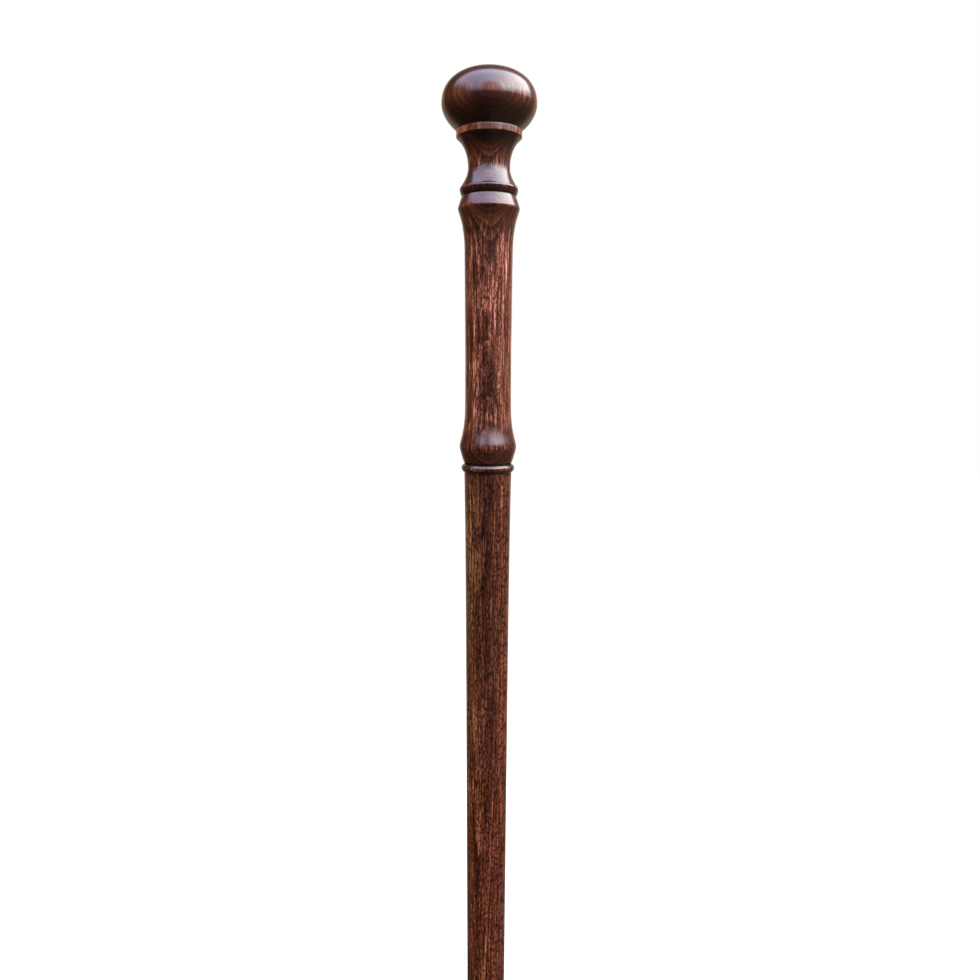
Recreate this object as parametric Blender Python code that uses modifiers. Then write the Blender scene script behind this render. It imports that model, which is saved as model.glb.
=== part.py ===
"""Knob walking cane: a turned wooden handle screwed to a tapered wooden shaft with a rubber ferrule.

Metres, +Z up. The origin is the middle of the ferrule's tread, on the ground.
Every piece is turned on one axis, so each one is a profile of (radius, height) points that a Screw
modifier takes round. Heights in a profile are counted from the piece's own origin.
"""

import math

import bpy
from mathutils import Vector
from mathutils.geometry import interpolate_bezier

# Driving sizes of the handle, from its top to its lower end
HANDLE_LENGTH = 0.1967
KNOB_DIAMETER = 0.0480
KNOB_CROWN_HEIGHT = 0.0171
KNOB_CROWN_FULLNESS = 2.30
KNOB_UNDERSIDE_HEIGHT = 0.0179
KNOB_UNDERSIDE_FULLNESS = 1.82
FLANGE_DIAMETER = 0.0332
FLANGE_HEIGHT = 0.0031
CREASE_DEPTH = 0.0004
FLANGE_LIP = 0.0006
WAIST_DIAMETER = 0.0212
UPPER_COVE_WIDTH = 0.0102
UPPER_COVE_HEIGHT = 0.0157
LOWER_COVE_WIDTH = 0.0094
LOWER_COVE_HEIGHT = 0.0125
COLLAR_DIAMETER = 0.0296
COLLAR_EDGE_ROUND = 0.0004
COLLAR_EDGE_HEIGHT = 0.0019
COLLAR_UNDERCUT_HEIGHT = 0.0024
GROOVE_DIAMETER = 0.0272
UPPER_BULGE_DIAMETER = 0.0312
UPPER_BULGE_RISE = 0.0060
UPPER_BULGE_SHOULDER = 0.12
UPPER_BULGE_FALL = 0.0221
UPPER_BULGE_CROWN = 0.10
UPPER_BULGE_TAIL = 0.71
GRIP_TOP_DIAMETER = 0.0244
GRIP_HOLLOW = 0.0003
GRIP_END_DIAMETER = 0.0237
LOWER_BULGE_DIAMETER = 0.0293
LOWER_BULGE_RISE = 0.0214
LOWER_BULGE_TAIL = 0.69
LOWER_BULGE_CROWN = 0.10
LOWER_BULGE_FALL = 0.0083
LOWER_BULGE_SHOULDER = 0.18
HANDLE_END_DIAMETER = 0.0252
HANDLE_END_CHAMFER = 0.0003

# Driving sizes of the screwed joint
JOINT_WASHER_DIAMETER = 0.0245
JOINT_WASHER_THICKNESS = 0.0005
INSERT_BARREL_DIAMETER = 0.0115
INSERT_FLANGE_DIAMETER = 0.0150
INSERT_FLANGE_THICKNESS = 0.0012
INSERT_LENGTH = 0.0155
INSERT_HEX_ACROSS_FLATS = 0.0082
INSERT_HEX_DEPTH = 0.0030
INSERT_EDGE_CHAMFER = 0.0004
STUD_MEAN_DIAMETER = 0.0072
STUD_SHANK_DIAMETER = 0.0080
STUD_SHANK_LENGTH = 0.0040
STUD_REACH = 0.0160
STUD_TIP_CHAMFER = 0.0008
STUD_ROOT_LENGTH = 0.0380
STUD_POINT_LENGTH = 0.0050
STUD_POINT_DIAMETER = 0.0024

# Driving sizes of the shaft
SHAFT_LENGTH = 0.7086
BEAD_DIAMETER = 0.0276
BEAD_HEIGHT = 0.0038
SHAFT_NECK_DIAMETER = 0.0244
SHAFT_BODY_DIAMETER = 0.02245
SHAFT_FLARE_LENGTH = 0.0960
SHAFT_TIP_DIAMETER = 0.0160
SHAFT_TIP_CHAMFER = 0.0010

# Driving sizes of the ferrule
FERRULE_HEIGHT = 0.0460
FERRULE_FLOOR = 0.0120
FERRULE_RIM_DIAMETER = 0.0244
FERRULE_RIM_HEIGHT = 0.0044
FERRULE_MOUTH_CHAMFER = 0.0006
FERRULE_BARREL_TOP_DIAMETER = 0.0214
FERRULE_BARREL_END_DIAMETER = 0.0238
FERRULE_BARREL_END_HEIGHT = 0.0190
RIB_COUNT = 3
RIB_PITCH = 0.0042
RIB_WIDTH = 0.0024
RIB_STAND = 0.0008
FIRST_RIB_HEIGHT = 0.0240
FERRULE_BASE_DIAMETER = 0.0340
FERRULE_BASE_HEIGHT = 0.0050
FERRULE_BASE_ROUND = 0.0010
TREAD_PAD_DIAMETER = 0.0080
TREAD_RING_COUNT = 3
TREAD_GROOVE_WIDTH = 0.0016
TREAD_RING_WIDTH = 0.0022
TREAD_GROOVE_DEPTH = 0.0015
FERRULE_WASHER_THICKNESS = 0.0012
FERRULE_WASHER_EDGE = 0.0002

# Clearances between pieces that touch
FIT_CLEARANCE = 0.0003
FACE_CLEARANCE = 0.00025
BORE_END_CLEARANCE = 0.0020

# Facets round the axis
HANDLE_FACETS = 52
SHAFT_FACETS = 40
SMALL_FACETS = 24
SHARP_EDGE_ANGLE = math.radians(30)

# Steps along each curve of a profile
KNOB_CROWN_STEPS = 11
KNOB_UNDERSIDE_STEPS = 7
UPPER_COVE_STEPS = 8
LOWER_COVE_STEPS = 6
SHOULDER_STEPS = 5
SWELL_STEPS = 7
GRIP_STEPS = 4
BEAD_STEPS = 8
SHAFT_FLARE_STEPS = 6
SHAFT_TAPER_STEPS = 5
FERRULE_RIM_STEPS = 6
RIB_STEPS = 4
FERRULE_FLARE_STEPS = 7

# Places worked out from the sizes
FERRULE_WASHER_SEAT = FERRULE_FLOOR + FACE_CLEARANCE
SHAFT_SEAT = FERRULE_WASHER_SEAT + FERRULE_WASHER_THICKNESS + FACE_CLEARANCE
SHAFT_TOP = SHAFT_SEAT + SHAFT_LENGTH
JOINT_WASHER_SEAT = SHAFT_TOP + FACE_CLEARANCE
HANDLE_SEAT = JOINT_WASHER_SEAT + JOINT_WASHER_THICKNESS + FACE_CLEARANCE
SPIGOT_LENGTH = FERRULE_HEIGHT - SHAFT_SEAT
STUD_LENGTH = STUD_ROOT_LENGTH + STUD_REACH + HANDLE_SEAT - SHAFT_TOP
STUD_SEAT = SHAFT_TOP - STUD_ROOT_LENGTH


def superellipse(width, height, fullness, start, end, count):
    """Points of a quarter superellipse round (0, 0), from the start angle to the end angle off the axis."""
    points = []
    for i in range(count + 1):
        angle = start + (end - start) * i / count
        across = abs(math.sin(angle)) ** (2 / fullness)
        along = abs(math.cos(angle)) ** (2 / fullness)
        points.append((width * across, height * along))
    return points


def bezier(first, first_handle, second_handle, second, count):
    """Points of a cubic curve between two (radius, height) points."""
    corners = [Vector((x, z, 0)) for x, z in (first, first_handle, second_handle, second)]
    return [(p.x, p.y) for p in interpolate_bezier(*corners, count + 1)]


def swell(first, second, first_reach, second_reach, count):
    """A curve that runs along the axis at both ends. The reaches are shares of its height."""
    fall = first[1] - second[1]
    first_handle = (first[0], first[1] - first_reach * fall)
    second_handle = (second[0], second[1] + second_reach * fall)
    return bezier(first, first_handle, second_handle, second, count)


def cove(narrowest, middle, width, height, start, end, count):
    """A hollow that is narrowest at its middle. An angle of a quarter turn is its full width and height."""
    points = []
    for i in range(count + 1):
        angle = start + (end - start) * i / count
        points.append((narrowest + width * (1 - math.cos(angle)), middle + height * math.sin(angle)))
    return points


def half_round(radius, middle, stand, height, count):
    """A half-round bead that stands proud of the radius, from its top to its lower edge."""
    points = []
    for i in range(count + 1):
        angle = math.pi * i / count
        points.append((radius + stand * math.sin(angle), middle + height / 2 * math.cos(angle)))
    return points


def without_repeats(profile):
    """The profile with each point that repeats the one before it taken out."""
    kept = [profile[0]]
    for point in profile[1:]:
        if math.dist(point, kept[-1]) > 1e-6:
            kept.append(point)
    return kept


def clear_scene():
    for obj in list(bpy.data.objects):
        bpy.data.objects.remove(obj)


def new_collection(name):
    collection = bpy.data.collections.new(name)
    bpy.context.scene.collection.children.link(collection)
    return collection


def material(name, colour, roughness, metallic=0.0):
    made = bpy.data.materials.new(name)
    made.use_nodes = True
    shader = made.node_tree.nodes["Principled BSDF"]
    shader.inputs["Base Color"].default_value = (*colour, 1.0)
    shader.inputs["Roughness"].default_value = roughness
    shader.inputs["Metallic"].default_value = metallic
    return made


def apply_modifiers(piece):
    """Makes the evaluated mesh the piece's own, shades it smooth and keeps its turned edges sharp."""
    graph = bpy.context.evaluated_depsgraph_get()
    solid = bpy.data.meshes.new_from_object(piece.evaluated_get(graph))
    solid.name = piece.name
    piece.modifiers.clear()
    piece.data = solid
    solid.shade_smooth()
    solid.set_sharp_from_angle(angle=SHARP_EDGE_ANGLE)


def turned(name, profile, facets, finish, collection, closed=False):
    """A solid of revolution from a profile that runs down the outer side."""
    points = without_repeats(profile)
    edges = [(i, i + 1) for i in range(len(points) - 1)]
    if closed:
        edges.append((len(points) - 1, 0))
    line = bpy.data.meshes.new(name)
    line.from_pydata([(x, 0, z) for x, z in points], edges, [])
    piece = bpy.data.objects.new(name, line)
    piece.data.materials.append(finish)
    collection.objects.link(piece)
    screw = piece.modifiers.new("Turn", "SCREW")
    screw.steps = facets
    screw.render_steps = facets
    screw.use_merge_vertices = True
    screw.merge_threshold = 1e-5
    apply_modifiers(piece)
    return piece


def knob_profile(equator):
    """The knob from its crown down to the crease above the flange."""
    radius = KNOB_DIAMETER / 2
    side = math.pi / 2
    crown = superellipse(radius, KNOB_CROWN_HEIGHT, KNOB_CROWN_FULLNESS, 0, side, KNOB_CROWN_STEPS)
    points = [(x, equator + z) for x, z in crown]
    crease = FLANGE_DIAMETER / 2 - CREASE_DEPTH
    reached = math.asin((crease / radius) ** (KNOB_UNDERSIDE_FULLNESS / 2))
    underside = superellipse(
        radius, KNOB_UNDERSIDE_HEIGHT, KNOB_UNDERSIDE_FULLNESS, side, reached, KNOB_UNDERSIDE_STEPS
    )
    return points + [(x, equator - z) for x, z in underside]


def flange_and_neck_profile(flange_top):
    """The flange band and the waisted neck, down to the collar's upper edge."""
    flange = FLANGE_DIAMETER / 2
    waist = WAIST_DIAMETER / 2
    flange_end = flange_top - CREASE_DEPTH - FLANGE_HEIGHT
    points = [(flange, flange_top - CREASE_DEPTH), (flange, flange_end)]
    upper_turn = math.acos(1 - (flange - FLANGE_LIP - waist) / UPPER_COVE_WIDTH)
    waist_height = flange_end - FLANGE_LIP - UPPER_COVE_HEIGHT * math.sin(upper_turn)
    collar_edge = COLLAR_DIAMETER / 2 - COLLAR_EDGE_ROUND
    lower_turn = math.acos(1 - (collar_edge - waist) / LOWER_COVE_WIDTH)
    points += cove(
        waist, waist_height, UPPER_COVE_WIDTH, UPPER_COVE_HEIGHT, upper_turn, 0, UPPER_COVE_STEPS
    )
    points += cove(
        waist, waist_height, LOWER_COVE_WIDTH, LOWER_COVE_HEIGHT, 0, -lower_turn, LOWER_COVE_STEPS
    )
    return points


def collar_and_groove_profile(collar_top):
    """The collar's round edge, its undercut lower face and the groove under it."""
    collar = COLLAR_DIAMETER / 2
    edge_end = collar_top - COLLAR_EDGE_HEIGHT
    return [
        (collar, collar_top - COLLAR_EDGE_ROUND),
        (collar, edge_end),
        (GROOVE_DIAMETER / 2, edge_end - COLLAR_UNDERCUT_HEIGHT),
    ]


def grip_profile(groove):
    """The upper bulge, the grip and the lower bulge, down to the handle's end face."""
    upper = UPPER_BULGE_DIAMETER / 2
    lower = LOWER_BULGE_DIAMETER / 2
    top = GRIP_TOP_DIAMETER / 2
    end = GRIP_END_DIAMETER / 2
    face = HANDLE_END_DIAMETER / 2
    upper_height = groove - UPPER_BULGE_RISE
    top_height = upper_height - UPPER_BULGE_FALL
    lower_height = LOWER_BULGE_FALL
    end_height = lower_height + LOWER_BULGE_RISE
    third = (top_height - end_height) / 3
    rise = upper - GROOVE_DIAMETER / 2
    points = bezier(
        (GROOVE_DIAMETER / 2, groove),
        (upper - (1 - 2 * UPPER_BULGE_SHOULDER) * rise, groove - UPPER_BULGE_SHOULDER * UPPER_BULGE_RISE),
        (upper, upper_height + UPPER_BULGE_SHOULDER * UPPER_BULGE_RISE),
        (upper, upper_height),
        SHOULDER_STEPS,
    )
    points += swell(
        (upper, upper_height), (top, top_height), UPPER_BULGE_CROWN, UPPER_BULGE_TAIL, SWELL_STEPS
    )
    points += bezier(
        (top, top_height),
        (top - GRIP_HOLLOW, top_height - third),
        (end - GRIP_HOLLOW, end_height + third),
        (end, end_height),
        GRIP_STEPS,
    )
    points += swell(
        (end, end_height), (lower, lower_height), LOWER_BULGE_TAIL, LOWER_BULGE_CROWN, SWELL_STEPS
    )
    points += bezier(
        (lower, lower_height),
        (lower, (1 - LOWER_BULGE_SHOULDER) * LOWER_BULGE_FALL),
        (face + LOWER_BULGE_SHOULDER * (lower - face), LOWER_BULGE_SHOULDER * LOWER_BULGE_FALL),
        (face, HANDLE_END_CHAMFER),
        SHOULDER_STEPS,
    )
    points.append((face - HANDLE_END_CHAMFER, 0))
    return points


def handle_bore_profile():
    """The stepped blind bore in the handle's end face, which holds the insert and clears the stud."""
    recess = INSERT_FLANGE_DIAMETER / 2 + FIT_CLEARANCE
    barrel = INSERT_BARREL_DIAMETER / 2 + FIT_CLEARANCE
    relief = STUD_SHANK_DIAMETER / 2 + FIT_CLEARANCE
    recess_depth = INSERT_FLANGE_THICKNESS + FIT_CLEARANCE
    barrel_depth = INSERT_LENGTH + FIT_CLEARANCE
    relief_depth = max(STUD_REACH, barrel_depth) + BORE_END_CLEARANCE
    return [
        (recess, 0),
        (recess, recess_depth),
        (barrel, recess_depth),
        (barrel, barrel_depth),
        (relief, barrel_depth),
        (relief, relief_depth),
        (0, relief_depth + relief),
    ]


def make_handle(finish, collection):
    equator = HANDLE_LENGTH - KNOB_CROWN_HEIGHT
    profile = knob_profile(equator)
    profile += flange_and_neck_profile(profile[-1][1])
    profile += collar_and_groove_profile(profile[-1][1])
    profile += grip_profile(profile[-1][1])
    profile += handle_bore_profile()
    handle = turned("handle", profile, HANDLE_FACETS, finish, collection)
    handle.location.z = HANDLE_SEAT
    return handle


def make_insert(finish, collection, cutters):
    """The flanged brass insert, with the hexagon that a key turns it by at its mouth."""
    bore = STUD_MEAN_DIAMETER / 2 + FIT_CLEARANCE
    barrel = INSERT_BARREL_DIAMETER / 2
    flange = INSERT_FLANGE_DIAMETER / 2
    profile = [
        (bore, INSERT_LENGTH),
        (barrel - INSERT_EDGE_CHAMFER, INSERT_LENGTH),
        (barrel, INSERT_LENGTH - INSERT_EDGE_CHAMFER),
        (barrel, INSERT_FLANGE_THICKNESS),
        (flange, INSERT_FLANGE_THICKNESS),
        (flange, INSERT_EDGE_CHAMFER),
        (flange - INSERT_EDGE_CHAMFER, 0),
        (bore, 0),
    ]
    insert = turned("handle_insert", profile, SMALL_FACETS, finish, collection, closed=True)
    bpy.ops.mesh.primitive_cylinder_add(
        vertices=6,
        radius=INSERT_HEX_ACROSS_FLATS / 2 / math.cos(math.pi / 6),
        depth=2 * INSERT_HEX_DEPTH,
    )
    hexagon = bpy.context.active_object
    hexagon.name = "insert_hexagon_cutter"
    hexagon.display_type = "WIRE"
    hexagon.hide_render = True
    for home in list(hexagon.users_collection):
        home.objects.unlink(hexagon)
    cutters.objects.link(hexagon)
    hexagon.parent = insert
    cut = insert.modifiers.new("Key hexagon", "BOOLEAN")
    cut.operation = "DIFFERENCE"
    cut.solver = "EXACT"
    cut.object = hexagon
    return insert


def make_joint_washer(finish, collection):
    inner = STUD_SHANK_DIAMETER / 2 + FIT_CLEARANCE
    outer = JOINT_WASHER_DIAMETER / 2
    profile = [
        (inner, JOINT_WASHER_THICKNESS),
        (outer, JOINT_WASHER_THICKNESS),
        (outer, 0),
        (inner, 0),
    ]
    washer = turned("joint_washer", profile, SHAFT_FACETS, finish, collection, closed=True)
    washer.location.z = JOINT_WASHER_SEAT
    return washer


def make_joint_screw(finish, collection):
    """The double-ended screw: a pointed root in the shaft, a short plain shank, and the stud above it."""
    stud = STUD_MEAN_DIAMETER / 2
    shank = STUD_SHANK_DIAMETER / 2
    point = STUD_POINT_DIAMETER / 2
    profile = [
        (0, STUD_LENGTH),
        (stud - STUD_TIP_CHAMFER, STUD_LENGTH),
        (stud, STUD_LENGTH - STUD_TIP_CHAMFER),
        (stud, STUD_ROOT_LENGTH),
        (shank, STUD_ROOT_LENGTH),
        (shank, STUD_ROOT_LENGTH - STUD_SHANK_LENGTH),
        (stud, STUD_ROOT_LENGTH - STUD_SHANK_LENGTH),
        (stud, STUD_POINT_LENGTH),
        (point, 0),
        (0, 0),
    ]
    screw = turned("joint_screw", profile, SMALL_FACETS, finish, collection)
    return screw


def make_shaft(finish, collection):
    stud = STUD_MEAN_DIAMETER / 2 + FIT_CLEARANCE
    shank = STUD_SHANK_DIAMETER / 2 + FIT_CLEARANCE
    neck = SHAFT_NECK_DIAMETER / 2
    body = SHAFT_BODY_DIAMETER / 2
    tip = SHAFT_TIP_DIAMETER / 2
    bore_end = SHAFT_LENGTH - STUD_ROOT_LENGTH - FIT_CLEARANCE
    shank_end = SHAFT_LENGTH - STUD_SHANK_LENGTH - FIT_CLEARANCE
    point = STUD_POINT_DIAMETER / 2 + FIT_CLEARANCE
    profile = [
        (0, bore_end),
        (point, bore_end),
        (stud, bore_end + STUD_POINT_LENGTH),
        (stud, shank_end),
        (shank, shank_end),
        (shank, SHAFT_LENGTH),
    ]
    bead_middle = SHAFT_LENGTH - BEAD_HEIGHT / 2
    profile += half_round(neck, bead_middle, BEAD_DIAMETER / 2 - neck, BEAD_HEIGHT, BEAD_STEPS)
    bead_end = SHAFT_LENGTH - BEAD_HEIGHT
    flare_end = bead_end - SHAFT_FLARE_LENGTH
    slope = (body - tip) / (flare_end - SPIGOT_LENGTH)
    flare = neck - body - slope * SHAFT_FLARE_LENGTH
    for i in range(1, SHAFT_FLARE_STEPS + 1):
        left = 1 - i / SHAFT_FLARE_STEPS
        climb = left * SHAFT_FLARE_LENGTH
        profile.append((body + slope * climb + flare * left**3, flare_end + climb))
    for i in range(1, SHAFT_TAPER_STEPS + 1):
        left = 1 - i / SHAFT_TAPER_STEPS
        profile.append((tip + left * (body - tip), SPIGOT_LENGTH + left * (flare_end - SPIGOT_LENGTH)))
    profile += [(tip, SHAFT_TIP_CHAMFER), (tip - SHAFT_TIP_CHAMFER, 0), (0, 0)]
    shaft = turned("shaft", profile, SHAFT_FACETS, finish, collection)
    shaft.location.z = SHAFT_SEAT
    return shaft


def tread_profile():
    """The tread from the base's edge to the pad in the middle, with a groove inside each ring."""
    points = []
    pitch = TREAD_RING_WIDTH + TREAD_GROOVE_WIDTH
    for ring in reversed(range(TREAD_RING_COUNT)):
        inner = TREAD_PAD_DIAMETER / 2 + ring * pitch
        outer = inner + TREAD_GROOVE_WIDTH
        points += [
            (outer, 0),
            (outer, TREAD_GROOVE_DEPTH),
            (inner, TREAD_GROOVE_DEPTH),
            (inner, 0),
        ]
    return points + [(0, 0)]


def make_ferrule(finish, collection):
    """The bell-shaped rubber tip: its socket, rim bead, ribbed barrel, flared base and ringed tread."""
    socket = SHAFT_TIP_DIAMETER / 2 + FIT_CLEARANCE
    rim = FERRULE_RIM_DIAMETER / 2
    top = FERRULE_BARREL_TOP_DIAMETER / 2
    end = FERRULE_BARREL_END_DIAMETER / 2
    base = FERRULE_BASE_DIAMETER / 2
    rim_end = FERRULE_HEIGHT - FERRULE_RIM_HEIGHT
    slope = (end - top) / (rim_end - FERRULE_BARREL_END_HEIGHT)
    profile = [
        (0, FERRULE_FLOOR),
        (socket, FERRULE_FLOOR),
        (socket, FERRULE_HEIGHT - FERRULE_MOUTH_CHAMFER),
        (socket + FERRULE_MOUTH_CHAMFER, FERRULE_HEIGHT),
    ]
    rim_middle = FERRULE_HEIGHT - FERRULE_RIM_HEIGHT / 2
    profile += half_round(top, rim_middle, rim - top, FERRULE_RIM_HEIGHT, FERRULE_RIM_STEPS)
    for rib in reversed(range(RIB_COUNT)):
        middle = FIRST_RIB_HEIGHT + rib * RIB_PITCH
        barrel = top + slope * (rim_end - middle)
        profile += half_round(barrel, middle, RIB_STAND, RIB_WIDTH, RIB_STEPS)
    width = base - FERRULE_BASE_ROUND - end
    height = FERRULE_BARREL_END_HEIGHT - FERRULE_BASE_HEIGHT
    profile += cove(end, FERRULE_BARREL_END_HEIGHT, width, height, 0, -math.pi / 2, FERRULE_FLARE_STEPS)
    profile += [
        (base, FERRULE_BASE_HEIGHT - FERRULE_BASE_ROUND),
        (base, FERRULE_BASE_ROUND),
        (base - FERRULE_BASE_ROUND, 0),
    ]
    profile += tread_profile()
    return turned("ferrule", profile, SHAFT_FACETS, finish, collection)


def make_ferrule_washer(finish, collection):
    radius = SHAFT_TIP_DIAMETER / 2
    profile = [
        (0, FERRULE_WASHER_THICKNESS),
        (radius - FERRULE_WASHER_EDGE, FERRULE_WASHER_THICKNESS),
        (radius, FERRULE_WASHER_THICKNESS - FERRULE_WASHER_EDGE),
        (radius, FERRULE_WASHER_EDGE),
        (radius - FERRULE_WASHER_EDGE, 0),
        (0, 0),
    ]
    washer = turned("ferrule_washer", profile, SMALL_FACETS, finish, collection)
    washer.location.z = FERRULE_WASHER_SEAT
    return washer


def main():
    clear_scene()
    cane = new_collection("knob_walking_cane")
    cutters = new_collection("cutters")
    handle_wood = material("handle_wood", (0.110, 0.038, 0.024), 0.30)
    shaft_wood = material("shaft_wood", (0.075, 0.028, 0.019), 0.38)
    brass = material("brass", (0.72, 0.50, 0.20), 0.35, metallic=1.0)
    steel = material("steel", (0.58, 0.58, 0.60), 0.32, metallic=1.0)
    washer_rubber = material("washer_rubber", (0.016, 0.015, 0.015), 0.60)
    ferrule_rubber = material("ferrule_rubber", (0.022, 0.021, 0.021), 0.65)

    ferrule = make_ferrule(ferrule_rubber, cane)
    ferrule_washer = make_ferrule_washer(steel, cane)
    ferrule_washer.parent = ferrule

    shaft = make_shaft(shaft_wood, cane)
    joint_screw = make_joint_screw(steel, cane)
    joint_screw.parent = shaft
    joint_screw.location.z = STUD_SEAT - SHAFT_SEAT

    make_joint_washer(washer_rubber, cane)

    handle = make_handle(handle_wood, cane)
    insert = make_insert(brass, cane, cutters)
    insert.parent = handle
    print(f"overall height {HANDLE_SEAT + HANDLE_LENGTH:.4f} m")


main()
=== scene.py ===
# %% [markdown]
# # A turned walking cane with a knob handle
#
# This lesson dresses a finished drawing of a wooden cane. The drawing comes in as a fixed frame: seven
# solids that already have the right size and place. Here each one gets a finer turned mesh and a
# finish made of nodes, then a plain studio, lamps and a camera.
#
# The frame is loaded first, because every piece takes its place from it.

# %% Load the frame
import math
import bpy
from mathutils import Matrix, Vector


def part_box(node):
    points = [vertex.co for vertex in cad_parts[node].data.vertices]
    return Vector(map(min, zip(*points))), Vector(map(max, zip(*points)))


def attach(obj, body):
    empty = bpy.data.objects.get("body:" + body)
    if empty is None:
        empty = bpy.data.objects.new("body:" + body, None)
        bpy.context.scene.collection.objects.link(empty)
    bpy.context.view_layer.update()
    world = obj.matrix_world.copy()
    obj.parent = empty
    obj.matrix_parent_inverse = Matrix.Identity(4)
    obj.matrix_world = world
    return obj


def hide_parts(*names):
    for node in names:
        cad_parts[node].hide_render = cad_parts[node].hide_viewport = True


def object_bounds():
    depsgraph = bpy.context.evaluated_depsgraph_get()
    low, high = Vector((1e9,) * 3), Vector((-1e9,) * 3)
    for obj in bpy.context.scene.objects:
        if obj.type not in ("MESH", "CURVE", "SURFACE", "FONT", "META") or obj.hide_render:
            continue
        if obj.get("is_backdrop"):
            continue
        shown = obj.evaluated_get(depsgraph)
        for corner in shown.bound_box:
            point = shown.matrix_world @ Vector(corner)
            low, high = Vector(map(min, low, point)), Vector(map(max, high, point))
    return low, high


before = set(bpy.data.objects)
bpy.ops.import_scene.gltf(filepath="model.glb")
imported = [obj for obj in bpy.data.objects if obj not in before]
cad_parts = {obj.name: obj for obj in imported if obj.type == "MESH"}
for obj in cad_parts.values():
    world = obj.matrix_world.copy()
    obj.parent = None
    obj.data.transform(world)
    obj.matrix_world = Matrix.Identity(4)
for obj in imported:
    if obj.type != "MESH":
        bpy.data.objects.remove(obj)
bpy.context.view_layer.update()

from types import SimpleNamespace

import bmesh
import bpy
import numpy as np
from mathutils import Euler, Matrix, Vector
from mathutils.geometry import interpolate_bezier

print("nodes", sorted(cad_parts))

# %% [markdown]
# ## Where each piece sits
#
# On a lathe a piece is measured from its own end. The frame says how high each end sits above the
# ground, so a profile only has to be lifted by that much.

# %% Read the seats
HANDLE_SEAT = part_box("handle")[0].z
SHAFT_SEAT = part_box("shaft")[0].z
SHAFT_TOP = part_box("shaft")[1].z
SCREW_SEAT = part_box("joint_screw")[0].z
SCREW_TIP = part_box("joint_screw")[1].z
for piece_name in sorted(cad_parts):
    low, high = [corner * 1000 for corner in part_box(piece_name)]
    print(f"{piece_name}: {low.z:.2f} to {high.z:.2f} mm, {high.x - low.x:.2f} mm across")

# %% [markdown]
# ## The curves of a turner
#
# A turner cuts four kinds of curve: the full round of a knob, a hollow or cove, a swell that leaves
# and meets the stick along its axis, and a small half-round bead. Each could be drawn point by point,
# but a formula stays smooth at any number of points, so each is a short function that gives
# (radius, height) points.

# %% Curves
QUARTER = math.pi / 2


def steps(start, end, count):
    return [start + (end - start) * i / count for i in range(count + 1)]


def superellipse(width, height, fullness, start, end, count):
    """Part of a quarter round. A fullness of 2 is an ellipse and more is squarer."""
    return [
        (width * abs(math.sin(a)) ** (2 / fullness), height * abs(math.cos(a)) ** (2 / fullness))
        for a in steps(start, end, count)
    ]


def bezier(first, first_handle, second_handle, second, count):
    corners = [Vector((x, z, 0)) for x, z in (first, first_handle, second_handle, second)]
    return [(p.x, p.y) for p in interpolate_bezier(*corners, count + 1)]


def swell(first, second, first_reach, second_reach, count):
    """A curve that runs along the axis at both ends."""
    fall = first[1] - second[1]
    first_handle = (first[0], first[1] - first_reach * fall)
    second_handle = (second[0], second[1] + second_reach * fall)
    return bezier(first, first_handle, second_handle, second, count)


def cove(narrowest, middle, width, height, start, end, count):
    """A hollow that is narrowest at its middle."""
    return [
        (narrowest + width * (1 - math.cos(a)), middle + height * math.sin(a))
        for a in steps(start, end, count)
    ]


def half_round(radius, middle, stand, height, count):
    """A bead that stands proud of the stick."""
    return [
        (radius + stand * math.sin(a), middle + height / 2 * math.cos(a))
        for a in steps(0, math.pi, count)
    ]


def straight(first, second, count):
    """Even steps along a line, so that long faces stay short enough to shade well."""
    return list(zip(*(steps(a, b, count) for a, b in zip(first, second))))


# %% [markdown]
# ## Turning a profile
#
# The real pieces are turned, so the natural tool is spin: it carries a profile once round the axis.
# Its last copy is merged with its first, the points on the axis are merged into one pole, and the
# normals are recalculated after that. A cutter never leaves a perfectly keen edge, and sanding and
# varnish soften it further, so the sharp rings get a narrow bevel.

# %% Spin, soften and finish
AXIS = (0, 0, 1)
MERGE = 1e-6
AROUND = 144
KEEN_ANGLE = math.radians(25)
SHARP_ANGLE = math.radians(38)


def turned(profile, lift=0.0, around=AROUND, closed=False):
    """A closed solid of revolution from (radius, height) points."""
    kept = [profile[0]]
    kept += [b for a, b in zip(profile, profile[1:]) if math.dist(a, b) > MERGE]
    bm = bmesh.new()
    verts = [bm.verts.new((x, 0, z + lift)) for x, z in kept]
    ends = verts[1:] + verts[:1] if closed else verts[1:]
    edges = [bm.edges.new(pair) for pair in zip(verts, ends)]
    bmesh.ops.spin(
        bm, geom=verts + edges, cent=(0, 0, 0), axis=AXIS, angle=math.tau, steps=around, use_merge=True
    )
    bmesh.ops.remove_doubles(bm, verts=bm.verts, dist=MERGE)
    bmesh.ops.recalc_face_normals(bm, faces=bm.faces)
    return bm


def soften(bm, width):
    """Bevels every keen edge."""
    keen = [e for e in bm.edges if e.is_manifold and e.calc_face_angle() > KEEN_ANGLE]
    bmesh.ops.bevel(
        bm, geom=keen, offset=width, offset_type="OFFSET", segments=3, profile=0.5, affect="EDGES",
        clamp_overlap=True, material=-1,
    )


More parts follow.
